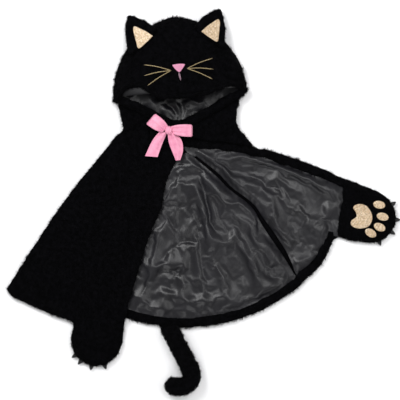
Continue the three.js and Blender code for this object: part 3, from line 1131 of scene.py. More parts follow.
@dataclass
class Back:
    """The back of the cape: plush, satin lining and the hem turned in over it."""

    tailor: Tailor
    thickness: float = 5.0
    lining_radius: float = 343.0
    highest: float = 17.0
    folds: tuple = (
        Ridge([(28, -48), (68, -92), (98, -132), (128, -158), (160, -200), (186, -236)], 11, (6, 15)),
        Ridge([(14, -46), (44, -150), (74, -240), (96, -330)], 9, (6, 17)),
        Ridge([(-44, -116), (-32, -140), (-17, -168)], -5, (4, 5)),
        Ridge([(-46, -122), (-24, -116), (0, -122)], -4, (4, 6)),
        Ridge([(-18, -196), (-34, -212), (-52, -232)], -4, (3, 5)),
        Ridge([(-18, -196), (2, -188), (24, -194)], -4, (3, 6)),
        Ridge([(-62, -258), (-34, -248), (-4, -250)], -6, (7, 9)),
        Ridge([(-80, -300), (-40, -292), (10, -306), (60, -300)], 5, (7, 10)),
        Ridge([(-8, -60), (-14, -100), (-2, -150), (20, -210)], 5, (10, 22)),
        Ridge([(110, -190), (140, -250), (158, -300)], 8, (8, 15)),
        Ridge([(30, -62), (46, -110), (54, -160)], -5, (4, 7)),
        Ridge([(24, -150), (34, -230), (50, -300)], -4, (5, 8)),
    )

    def outer(self) -> None:
        """Makes the plush back panel."""
        outline = [
            *RIGHT_SIDE, (-118, 46), (104, 62), (104, 42), (122, 22), (137, 0), (94, 3), (24, 10), (4, 0),
            *[beside(LEFT_FOLD, d, -1) for d in (20, 120, 220, 320)],
            *fan(HEM_RADIUS - 2, LEFT_FOLD, HEM_END), (-124, -318), (-230, -313), (-288, -312),
        ]
        made = flat_piece("back_outer", outline, 11, swelling(2.6, 0.5, 50, 1.0))
        thicken(made, self.thickness)
        self.tailor.sheet(made, Cloth.PLUSH, "cape_body", rests_on=["floor"], stands_for=["back_panel"])

    def lining_height(self, p: np.ndarray) -> np.ndarray:
        """Height of the back lining, with its folds, pressed flat under the closed front.

        Args:
            p: Points at the neck's place.

        Returns:
            A height for each point.
        """
        edge = smooth_line(FRONT_EDGE, 8)
        away, _ = distance_to(p, edge)
        right_of_edge = np.interp(p[:, 1], edge[::-1, 1], edge[::-1, 0]) < p[:, 0]
        free = smoothstep((np.where(right_of_edge, away, -away) + 2) / 26)
        radius = np.hypot(p[:, 0], p[:, 1])
        angle = np.degrees(np.arctan2(p[:, 1], p[:, 0]))
        spread = np.clip(radius / 300, 0, 1)
        fans = np.sin(angle * 0.82 + 2.4 * cloudy(p, 120, 2.0)) * 2.6 * spread
        crush = creased(p, 96, 3.0) * 5.4 + creased(p[:, ::-1] * 1.1, 52, 9.0) * 2.4
        crush += creased(p, 27, 19.0) * 0.5
        puffs = 3.0 * np.sin(angle * 0.62 + 3.0 * cloudy(p, 90, 17.0)) * smoothstep((radius - 285) / 40)
        hem = smoothstep((self.lining_radius + 1 - radius) / 20)
        lip, along = distance_to(p, smooth_line(LOWER_LIP, 8))
        fold = np.maximum(smoothstep(lip / 13), 0.7 * smoothstep((along - 0.72) / 0.2))
        rise = sum(f.rise(p) for f in self.folds) + fans + crush + puffs
        rise = self.highest * np.tanh(np.maximum(rise + 3.2, -0.6) / self.highest)
        return LINING_REST + (0.4 + rise) * free * (0.25 + 0.75 * hem) * (0.15 + 0.85 * fold)

    def lining(self) -> bpy.types.Object:
        """Makes the lining before it is draped."""
        outline = [
            (4, -11), *[tuple(q) for q in smooth_line(LOWER_LIP, 8)],
            *fan(self.lining_radius, LEFT_FOLD - 1.6, -120), (-40, -30),
        ]
        return flat_piece("back_satin", outline, 5.0, self.lining_height)

    def finish_lining(self, made: bpy.types.Object) -> None:
        """Gives the draped lining its thickness.

        Args:
            made: The draped lining.
        """
        thicken(made, SATIN_THICKNESS)
        self.tailor.sheet(made, Cloth.SATIN, LEFT_HINGE, rests_on=["back_outer"], stands_for=["back_lining"])

    def hem(self) -> None:
        """Makes the hem of the back."""
        line = even_steps(np.array(fan(HEM_RADIUS, LEFT_FOLD - 0.2, HEM_END)), 7)
        radius = 1 + 0.006 * cloudy(line, 45, 6.0)[:, None]
        under = -4.5 * smoothstep((-84 - line[:, 0]) / 24)
        made = Rim().make("back_hem", line * radius, under, side=-1)
        self.tailor.sheet(
            made, Cloth.PLUSH, "cape_body", "folded", ["back_outer"], ["back_hem_facing"], RIM_PILE
        )


# ---- The two fronts ----


@dataclass
class RightFront:
    """The closed front and its shoulder: plush on top and satin under it."""

    tailor: Tailor
    lift: float = 11.2
    folds: tuple = (
        Ridge([(-70, -60), (-130, -170), (-190, -300)], 4.5, (14, 26)),
        Ridge([(-50, -90), (-80, -200), (-120, -320)], 4.0, (12, 20)),
        Ridge([(-100, -10), (-200, -130), (-290, -270)], 4.0, (18, 30)),
    )

    def height(self, p: np.ndarray) -> np.ndarray:
        """Height of the middle of the plush, lower along the side where it joins the back.

        Args:
            p: Points at the neck's place.

        Returns:
            A height for each point.
        """
        side, _ = distance_to(p, smooth_line(RIGHT_SIDE, 12))
        drop = 4.6 * (1 - smoothstep(side / 26))
        low = smoothstep((-250 - p[:, 1]) / 60) * smoothstep((-205 - p[:, 0]) / 40) * 2.5
        low -= 3.0 * smoothstep((-280 - p[:, 1]) / 40) * smoothstep((p[:, 0] + 150) / 30)
        rolls = sum(f.rise(p) for f in self.folds)
        soft = smoothstep(side / 60)
        return self.lift + (rolls + 1.8 * cloudy(p, 75, 11.0)) * soft - drop - low

    def outer(self) -> None:
        """Makes the plush of the shoulder and the front."""
        front = [tuple(q) for q in smooth_line(FRONT_EDGE, 9)]
        hem = [(-119, -347), (-216, -354), (-226, -348), (-258, -337), (-300, -319), (-343, -298)]
        side = [tuple(q) for q in smooth_line(RIGHT_SIDE, 9)]
        neck = [(-122, 84), (-97, 74), (-66, 58), (-30, 41), (-8, 37)]
        made = flat_piece("right_front_outer", [*front, *hem, *side, *neck], 7.5, self.height)
        thicken(made, PLUSH_THICKNESS)
        self.tailor.sheet(
            made, Cloth.PLUSH, RIGHT_HINGE, "laid", ["back_outer"],
            ["right_shoulder_panel", "right_front_panel"], Pile(2.3, 5.4),
        )

    def lining(self) -> None:
        """Makes the satin under the front."""
        front = [(x - 15, y) for x, y in FRONT_EDGE[1:-1]]
        outline = [
            *front, (-128, -325), (-215, -318), (-258, -322), (-318, -286), (-240, -158), (-140, -30),
            (-60, -20),
        ]

        def height(p: np.ndarray) -> np.ndarray:
            """Height of the wrinkled satin, under the plush."""
            wrinkle = 1.4 * creased(p, 46, 5.0) + 0.6 * creased(p, 21, 7.0)
            return self.height(p) - 6.0 + wrinkle

        made = flat_piece("right_front_satin", outline, 5.5, height)
        thicken(made, HIDDEN_SATIN_THICKNESS)
        self.tailor.sheet(
            made, Cloth.SATIN, RIGHT_HINGE, "laid", ["back_satin"], ["right_front_lining"]
        )

    def facing(self) -> None:
        """Makes the plush strip turned under at the front edge."""
        edge = smooth_line(FRONT_EDGE[1:], 8)
        rows = [edge + np.array([dx, 0]) for dx in (-1.5, -6, -11, -16)]
        grid = np.stack([np.column_stack([NECK.world(r), FLOOR + self.height(r) - 3.9]) for r in rows])
        made = grid_piece("right_front_edge", grid)
        thicken(made, 1.8)
        self.tailor.sheet(
            made, Cloth.PLUSH, RIGHT_HINGE, "folded", ["right_front_outer"], ["right_front_facing"]
        )


@dataclass
class LeftFront:
    """The opened front: satin lining up, plush under it, and plush turned in along its edges."""

    tailor: Tailor
    lining_radius: float = 343.0
    highest: float = 15.0
    folds: tuple = (
        Ridge(
            [(26, -6), (74, -44), (110, -72), (160, -96), (178, -128), (186, -160), (224, -196)], 9, (5, 12)
        ),
        Ridge([(26, 0), (110, -14), (200, -44), (296, -92)], 8, (5, 10)),
        Ridge([(34, -14), (130, -44), (220, -84), (300, -132)], 8, (6, 13)),
        Ridge([(44, -30), (140, -82), (216, -124), (288, -172)], 8, (6, 14)),
        Ridge([(70, -50), (150, -116), (214, -178)], 6, (6, 12)),
        Ridge([(236, -150), (262, -168), (286, -160)], 6, (7, 10)),
        Ridge([(60, -22), (84, -38), (104, -62)], -5, (5, 6)),
    )

    def height(self, p: np.ndarray) -> np.ndarray:
        """Height of the opened front's lining.

        Args:
            p: Points at the neck's place.

        Returns:
            A height for each point.
        """
        radius = np.hypot(p[:, 0], p[:, 1])
        top, _ = distance_to(p, smooth_line(FLAP_EDGE, 10))
        rim = smoothstep((top - 11) / 16)
        hem = smoothstep((self.lining_radius + 1 - radius) / 22)
        wrist = smoothstep((318 - p[:, 0] - 0.1 * p[:, 1]) / 26)
        lip, along = distance_to(p, smooth_line(UPPER_LIP, 8))
        fold = np.maximum(smoothstep(lip / 12), 0.7 * smoothstep((along - 0.72) / 0.2))
        lengthways = np.stack([p[:, 0] * 0.45 + p[:, 1] * 0.2, p[:, 1] - p[:, 0] * 0.15], axis=1)
        crush = creased(lengthways, 46, 21.0) * 4.4 + creased(p, 78, 23.0) * 3.0 + creased(p, 30, 25.0) * 0.6
        rise = sum(f.rise(p) for f in self.folds) + crush
        rise = self.highest * np.tanh(np.maximum(rise + 3.0, -0.6) / self.highest)
        keep = (0.2 + 0.8 * rim) * (0.25 + 0.75 * hem) * (0.2 + 0.8 * wrist) * (0.1 + 0.9 * fold)
        return LINING_REST + (0.4 + rise) * keep

    def outer(self) -> None:
        """Makes the plush under the lining."""
        top = [tuple(q) for q in smooth_line([(42, 10.5), *FLAP_EDGE[2:]], 9)]
        wrist = [(333, -72), (322, -128), (309, -184)]
        fold = [beside(LEFT_FOLD, d, -7) for d in (320, 220, 120, 24)]
        outline = [*top, *wrist, (296, -186), *fan(HEM_RADIUS - 2, -37, LEFT_FOLD - 1), *fold]
        made = flat_piece("left_front_outer", outline, 11, swelling(2.7, 0.5, 50, 3.0))
        thicken(made, 5.0)
        self.tailor.sheet(
            made, Cloth.PLUSH, LEFT_HINGE, "laid", ["floor"], ["left_front_panel"],
            Pile(2.5, 4.6, lowest=-1.1, highest=0.3),
        )

    def lining(self) -> bpy.types.Object:
        """Makes the lining before it is draped."""
        top = [tuple(q) for q in smooth_line([(36, 0), *[(x - 4, y - 11) for x, y in FLAP_EDGE[2:]]], 8)]
        wrist = [(333, -92), (322, -132), (310, -180)]
        fold = [tuple(q) for q in smooth_line(UPPER_LIP, 8)[::-1]]
        outline = [*top, *wrist, *fan(self.lining_radius, FLAP_HEM_END + 1, LEFT_FOLD + 1.2), *fold]
        return flat_piece("left_front_satin", outline, 5.0, self.height)

    def finish_lining(self, made: bpy.types.Object) -> None:
        """Gives the draped lining its thickness.

        Args:
            made: The draped lining.
        """
        thicken(made, SATIN_THICKNESS)
        self.tailor.sheet(
            made, Cloth.SATIN, LEFT_HINGE, "laid", ["left_front_outer"], ["left_front_lining"]
        )

    def rims(self) -> None:
        """Makes the plush edge along the top and at the hem."""
        top = smooth_line([(41, 10.5), *FLAP_EDGE[2:], (333, -72)], 7)
        made = Rim().make("left_front_edge", top, side=-1)
        self.tailor.sheet(
            made, Cloth.PLUSH, LEFT_HINGE, "folded", ["left_front_outer"], ["left_front_facing"], RIM_PILE
        )
        turned = [(298, -170), (295, -182), (289, -199), (280, -217), *fan(HEM_RADIUS, -40, LEFT_FOLD - 0.4)]
        hem = even_steps(np.array(turned), 7)
        made = Rim().make("left_hem", hem * (1 + 0.006 * cloudy(hem, 45, 8.0)[:, None]), side=-1)
        self.tailor.sheet(
            made, Cloth.PLUSH, LEFT_HINGE, "folded", ["left_front_outer"], ["left_hem_facing"], RIM_PILE
        )


# ---- Neck and closure ----


@dataclass
class Neck:
    """The plush between the fronts and the hood, the faced neckline and the closure under the bow."""

    tailor: Tailor

    def yoke(self) -> None:
        """Makes the left shoulder, above the opened front."""
        line = [tuple(q) for q in smooth_line([(x, y - 1) for x, y in NECK_EDGE[6:-1]], 8)]
        side = [(112, 98), (104, 64), (106, 42), (122, 22), (140, 0)]
        outline = [*line, *side, (92, 8), (38, 14), (4, 20), (-12, 26)]

        def height(p: np.ndarray) -> np.ndarray:
            """Height of the shoulder, lower towards its outer side."""
            low = smoothstep((p[:, 0] - 84) / 50) * 3.5
            return 11.6 + 1.4 * cloudy(p, 40, 31.0) - low

        made = flat_piece("left_shoulder", outline, 6, height)
        thicken(made, PLUSH_THICKNESS)
        self.tailor.sheet(
            made, Cloth.PLUSH, HOOD_HINGE, "laid", ["back_outer"], ["left_shoulder_panel"], UPPER_PILE
        )

    def corner(self) -> None:
        """Makes the short rim and the bit of satin between the bow and the opened front."""
        rim = Rim().make("left_neck_rim", smooth_line([(-2, 17), (20, 14), (46, 10)], 6), 0.6, side=-1)
        self.tailor.sheet(rim, Cloth.PLUSH, "cape_body", "folded", ["back_outer"], pile=Pile(1.9, 5.0))
        outline = [(0, 8), (38, 3), (36, -6), (27, -17), (22, -21), (10, -16), (0, -6)]

        def height(p: np.ndarray) -> np.ndarray:
            """Height of the gathered corner."""
            return 7.6 + 1.2 * creased(p, 14, 37.0)

        made = flat_piece("neck_corner_satin", outline, 4, height)
        thicken(made, 0.9)
        self.tailor.sheet(made, Cloth.SATIN, "cape_body", "folded", ["back_outer"])

    def side(self) -> None:
        """Makes the plush that runs from the right shoulder up to the hood's corner."""
        outline = [(-120, 30), (-126, 60), (-132, 92), (-118, 102), (-92, 84), (-80, 62), (-84, 40)]

        def height(p: np.ndarray) -> np.ndarray:
            """Height of the neck's side, which rises towards the hood."""
            return 10.5 + 0.03 * (p[:, 1] - 30) + 0.8 * cloudy(p, 30, 33.0)

        made = flat_piece("right_neck_side", outline, 6, height)
        thicken(made, 6.0)
        self.tailor.sheet(made, Cloth.PLUSH, HOOD_HINGE, "laid", ["right_front_outer"], pile=UPPER_PILE)

    def facing(self) -> None:
        """Makes the rolled neckline below the hood's opening."""
        line = smooth_line(NECK_EDGE, 5)
        middle = np.abs(line[:, 0] + 12)
        lift = 2.6 + 0.04 * middle
        profile = ((0.0, 5.5), (-3.0, 8.0), (-2.0, 11.6), (2.0, 13.4), (7.0, 13.4), (11.5, 11.8), (13.5, 9.0))
        made = Rim(profile, 3.0).make("neck_edge", line, lift)
        self.tailor.sheet(
            made, Cloth.PLUSH, HOOD_HINGE, "folded", ["right_front_outer"], ["neck_facing"], Pile(1.9, 5.4)
        )

    def closure(self) -> None:
        """Makes the closure's tab and dresses its two patches."""
        low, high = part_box("closure_tab")
        outline = [(low.x, low.y), (high.x, low.y), (high.x, high.y), (low.x, high.y)]
        flat = [(x / MM - NECK.x, y / MM - NECK.y) for x, y in outline]
        middle = (low.z + high.z) / 2 / MM
        made = flat_piece("closure_strap", flat, 5, swelling(middle, 0.4, 14, 35.0))
        thicken(made, (high.z - low.z) / MM)
        self.tailor.sheet(
            made, Cloth.PLUSH, "closure", "laid", ["neck_edge"], ["closure_tab"], Pile(2.2, 3.2)
        )
        for name in ("closure_loop_patch", "closure_hook_patch"):
            Cloth.TAPE.dress(frame["nodes"][name])


# ---- Hood ----


@dataclass
class HoodShape:
    """The puffed front of the hood as it lies on its back.

    Attributes:
        half_width: Half the hood's width at its mouth.
        height: From the mouth to the crown.
        top: Height of the middle of the mouth above the floor.
        base: Height of the seam round the hood.
        power: Roundness of the outline.
    """

    half_width: float = 134.0
    height: float = 151.0
    top: float = 47.0
    base: float = 6.0
    power: float = 1.8

    def arch(self, y: np.ndarray, inset: float = 0.0) -> tuple[np.ndarray, np.ndarray]:
        """Half width and rise of the hood across a line.

        Args:
            y: How far the line is from the mouth.
            inset: How far inside the hood's surface.

        Returns:
            The half width, and the rise above the seam.
        """
        share = np.clip(y / (self.height - inset), 0, 1) ** self.power
        wide = (self.half_width - inset) * (1 - share) ** (1 / self.power)
        tall = (self.top - self.base - inset) * (1 - share) ** 0.5
        return wide, tall

    def surface(self, p: np.ndarray) -> np.ndarray:
        """Height of the hood's surface.

        Args:
            p: Points at the hood's place.

        Returns:
            A height for each point.
        """
        wide, tall = self.arch(np.maximum(p[:, 1], 0))
        across = np.clip(p[:, 0] / np.maximum(wide, 1e-6), -1, 1)
        return self.base + tall * np.sqrt(1 - across**2)

    def shell(
        self, name: str, inset: float, edge: Points | None = None, columns: int = 56
    ) -> bpy.types.Object:
        """The puffed shell as a grid from the mouth to the crown.

        Args:
            name: The piece's name.
            inset: How far inside the hood's surface it lies.
            edge: How far the mouth's edge stands forward at each x.
            columns: Points across.

        Returns:
            The sheet, without its thickness.
        """
        turn = np.linspace(0, math.pi, columns)
        rows = []
        for s in np.linspace(0, 1, 34):
            y = (self.height - inset) * math.sin(s * math.pi / 2)
            wide, tall = self.arch(np.array([y]), inset)
            x = -wide[0] * np.cos(turn)
            z = self.base + tall[0] * np.sin(turn)
            forward = np.zeros(columns)
            if edge is not None:
                line = np.array(edge)
                forward = np.interp(x, line[:, 0], line[:, 1]) * max(0.0, 1 - y / 70) ** 1.5
            flat = np.column_stack([x, y + forward])
            puff = 1.6 * cloudy(flat, 60, 41.0) * np.sin(turn) if inset == 0 else 0.0
            rows.append(np.column_stack([HOOD.world(flat), FLOOR + z + puff]))
        made = grid_piece(name, np.stack(rows))
        seam_up(made)
        return made


@dataclass
class Hood:
    """The hood: face, back, lining and the embroidered face."""

    tailor: Tailor
    shape: HoodShape
    edge: Points = (
        (-134, -6), (-127, -9), (-120, 2), (-112, 16), (-90, 20), (-71, 16), (-54, 0), (-43, -7),
        (-4, -11), (23, -10), (52, -8), (68, -2), (90, 5), (106, 9), (116, 4), (126, -4), (134, -2),
    )
    nose: Points = ((-10.5, 53.5), (2, 54.2), (14, 53), (12.5, 48.5), (4, 38.3), (0, 38.3), (-9, 48.5))
    mouth: Points = ((1.2, 38.8), (2.2, 31), (3.8, 20.8))
    gathered_at: tuple[float, float] = (-7.0, -66.0)

    def face(self) -> None:
        """Makes the puffed face panel."""
        made = self.shape.shell("hood_face", 0.0, self.edge)
        apply(made, "SOLIDIFY", thickness=5.0 * MM, offset=-1.0, use_quality_normals=True)
        smooth(made)
        self.tailor.sheet(made, Cloth.PLUSH, "hood", "stretched", (), ["hood_face_panel"], UPPER_PILE)

    def lip(self) -> None:
        """Makes the rolled plush edge of the hood's mouth."""
        turn = np.linspace(0.06, math.pi - 0.06, 60)
        wide, tall = self.shape.arch(np.array([0.0]))
        x = -wide[0] * np.cos(turn)
        line = np.array(self.edge)
        y = np.interp(x, line[:, 0], line[:, 1])
        z = self.shape.base + tall[0] * np.sin(turn)
        rows = []
        for forward, inward in ((4.0, -0.5), (-0.5, -1.2), (-2.6, 2.0), (-1.5, 5.5), (3.0, 7.6), (9.0, 7.8)):
            flat = np.column_stack([x * (1 - inward / wide[0]), y + forward])
            rows.append(np.column_stack([HOOD.world(flat), FLOOR + z - inward * np.sin(turn)]))
        made = grid_piece("hood_lip", np.stack(rows))
        thicken(made, 2.4)
        self.tailor.sheet(
            made, Cloth.PLUSH, "hood", "folded", ["hood_face"], ["hood_edge_facing"], Pile(1.9, 5.2)
        )

    def back(self) -> None:
        """Makes the plush back of the hood, which bends into the cape's back at the neck."""
        turn = np.radians(np.linspace(0, 180, 40))
        reach = np.abs(np.array([np.cos(turn), np.sin(turn)])) ** (2 / self.shape.power)
        x = (self.shape.half_width - 1) * reach[0] * np.sign(np.cos(turn))
        y = (self.shape.height - 1) * reach[1]
        outline = [
            *zip(x, y), (-124, -8), (-112, -34), (-110, -56), (0, -58), (110, -56), (112, -34), (124, -8),
        ]
        made = flat_piece("hood_back", outline, 9, swelling(3.2, 0.4, 40, 43.0), HOOD)
        thicken(made, PLUSH_THICKNESS)
        self.tailor.sheet(
            made, Cloth.PLUSH, HOOD_HINGE, "laid", ["floor"], ["hood_back_panel"], Pile(2.6, 5.4)
        )

    def lining_height(self, p: np.ndarray) -> np.ndarray:
        """Height of the lining that shows in the hood's mouth, gathered towards the closure.

        Args:
            p: Points at the hood's place.

        Returns:
            A height for each point.
        """
        spot = p - np.array(self.gathered_at)
        angle = np.arctan2(spot[:, 1], spot[:, 0])
        far = np.hypot(spot[:, 0], spot[:, 1])
        gathers = np.sin(angle * 9 + 2.5 * cloudy(p, 40, 51.0)) * 2.4
        gathers = gathers * smoothstep(far / 40) * smoothstep((150 - far) / 90)
        crush = creased(p, 30, 53.0) * 1.8 + creased(p, 60, 55.0) * 2.2
        side = 7.0 * np.clip(np.abs(p[:, 0]) / 124, 0, 1) ** 3
        return 10.0 + side + gathers + crush

    def lining(self) -> bpy.types.Object:
        """Makes the part of the lining that shows, before it is draped."""
        outline = [
            (-124, 6), (-117, -5), (-92, -21), (-62, -38), (-9, -64), (40, -54), (84, -35), (112, -17),
            (126, 6), (116, 52), (60, 76), (-60, 76), (-114, 52),
        ]
        return flat_piece("hood_satin_painted_shade", outline, 4.5, self.lining_height, HOOD)

    def finish_lining(self, made: bpy.types.Object) -> None:
        """Thickens the draped lining and adds the part inside the puffed front.

        Args:
            made: The draped lining.
        """
        thicken(made, SATIN_THICKNESS)
        # Both hood linings wear the darker copy of the satin, which paints the shade inside the hood.
        self.tailor.sheet(made, Cloth.SHADED_HOOD_SATIN, HOOD_HINGE, "gathered", ["hood_back"], ["hood_lining"])
        inner = self.shape.shell("hood_inner_satin", 6.4, None, 40)
        thicken(inner, HIDDEN_SATIN_THICKNESS)
        self.tailor.sheet(inner, Cloth.SHADED_HOOD_SATIN, "hood", "stretched", ["hood_face"])

    def on_face(self, p: np.ndarray, lift: float) -> np.ndarray:
        """Points on the face panel, raised by a lift, as rows of x, y, z."""
        return np.column_stack([HOOD.world(p), FLOOR + self.shape.surface(p) + lift])

    def features(self) -> None:
        """Embroiders the nose, the mouth and the whiskers."""

        def height(p: np.ndarray) -> np.ndarray:
            """Height of the nose, on the hood's surface."""
            return self.shape.surface(p) + 2.2

        made = flat_piece("nose_patch", rounded(self.nose, 2.5), 2.2, height, HOOD)
        thicken(made, 2.6)
        self.tailor.sheet(made, Cloth.NOSE, "hood", "stretched", ["hood_face"], ["nose"])
        mouth = self.thread("mouth_line", [self.mouth], 1.6)
        self.tailor.finish(mouth, "hood", ["mouth_stitch"])
        Cloth.MOUTH.dress(mouth)
        for name, side, ends in (
            ("right_whisker_threads", -1, ((-66.5, 58.2), (-68.2, 36.2), (-62.5, 15.9))),
            ("left_whisker_threads", 1, ((70.1, 60.9), (69.4, 38.9), (66.9, 19.0))),
        ):
            start = (-13.6, 42.1) if side < 0 else (17.6, 43.8)
            lines = [self.bowed(start, end) for end in ends]
            made = self.thread(name, lines, 0.66)
            Cloth.WHISKER.dress(made)
            self.tailor.finish(made, "hood", [name.replace("_whisker_threads", "_whiskers")])

    @staticmethod
    def bowed(start: tuple[float, float], end: tuple[float, float]) -> Points:
        """A whisker's line, which bows a little upwards."""
        middle = ((start[0] + end[0]) / 2, (start[1] + end[1]) / 2 + 1.6)
        return (start, middle, end)

    def thread(self, name: str, lines: Sequence[Points], radius: float) -> bpy.types.Object:
        """Satin stitch along lines: a low round bead that tapers at its ends, as one piece.

        Args:
            name: The piece's name.
            lines: The lines at the hood's place.
            radius: Half the bead's width.

        Returns:
            The piece.
        """
        beads = []
        for number, points in enumerate(lines):
            line = smooth_line(points, 1.3)
            spine = self.on_face(line, 2.6)
            along = np.gradient(spine, axis=0)
            side = np.cross(along, [0, 0, 1])
            side /= np.linalg.norm(side, axis=1)[:, None]
            taper = np.clip(np.minimum(np.arange(len(line)), np.arange(len(line))[::-1]) / 4, 0.25, 1)
            twist = 1 + 0.16 * (np.arange(len(line)) % 2)
            size = (radius * taper * twist)[:, None]
            turns = np.linspace(0, 2 * math.pi, 9)[:-1]
            up = np.array([0, 0, 0.9])
            rings = [spine + side * size * math.cos(t) + up * size * math.sin(t) for t in turns]
            bead = grid_piece(f"{name}_{number}", np.stack(rings, axis=1), close=True)
            only(bead)
            bpy.ops.object.mode_set(mode="EDIT")
            bpy.ops.mesh.select_all(action="DESELECT")
            bpy.ops.mesh.select_non_manifold()
            bpy.ops.mesh.fill_holes(sides=0)
            bpy.ops.object.mode_set(mode="OBJECT")
            beads.append(bead)
        bpy.ops.object.select_all(action="DESELECT")
        for bead in beads:
            bead.select_set(True)
        bpy.context.view_layer.objects.active = beads[0]
        if len(beads) > 1:
            bpy.ops.object.join()
        made = bpy.context.view_layer.objects.active
        made.name = name
        seam_up(made)
        bpy.ops.object.shade_smooth()
        return made


@dataclass
class Ear:
    """One ear: a folded plush triangle with a glitter inner."""

    tailor: Tailor
    side: int
    name: str
    inner_shift: tuple[float, float] = (0.0, 0.0)
    thickness: float = 6.0
    glitter_lift: float = 4.2
    glitter_thickness: float = 2.4
    outline: Points = (
        (-38, -19), (-37, 2), (-33, 20), (-27, 37), (-21, 43), (-12, 39), (1, 29), (14, 16), (25, 1),
        (33, -13), (20, -17), (0, -20), (-20, -21),
    )
    inner: Points = (
        (-20, -15), (-18, 0), (-14.5, 14), (-10, 27), (-3, 24), (4.5, 13), (12, 1), (18, -11), (0, -14),
    )

    def height(self, p: np.ndarray) -> np.ndarray:
        """Height of the middle of the ear's thickness, hollow along its middle."""
        hollow = 0.0042 * (self.side * p[:, 0] + 8) ** 2
        return np.maximum(29 - 0.30 * (p[:, 1] + 19) + hollow - 1, 8.0)

    def raised(self, p: np.ndarray) -> np.ndarray:
        """Height of the glitter, on the ear's pile."""
        return self.height(p) + self.glitter_lift

    def turned(self, points: Points) -> list[tuple[float, float]]:
        """The points of an ear's pattern, turned over for the other side."""
        return [(self.side * x, y) for x, y in points]

    def make(self) -> None:
        """Makes the ear's plush and its glitter inner."""
        place = EARS[self.side]
        hinge = Hinge("hood", self.name, place.at(0, -12), place.at(0, 10))
        outline = rounded(self.turned(self.outline), 3.5)
        made = flat_piece(self.name + "_plush", outline, 3.5, self.height, place)
        thicken(made, self.thickness)
        nodes = [self.name + "_back", self.name + "_front"]
        self.tailor.sheet(made, Cloth.PLUSH, hinge, "stretched", ["hood_face"], nodes, Pile(1.9, 4.4))
        patch = rounded(self.turned(self.inner), 3)
        moved = Vector(self.inner_shift)
        moved.rotate(Matrix.Rotation(-place.angle, 2))
        patch = [(x + moved.x, y + moved.y) for x, y in patch]
        made = flat_piece(self.name + "_glitter", patch, 2.6, self.raised, place)
        thicken(made, self.glitter_thickness)
        self.tailor.sheet(
            made, Cloth.GLITTER, hinge, "stretched", [self.name + "_plush"], [self.name + "_inner"]
        )


# ---- Bow ----


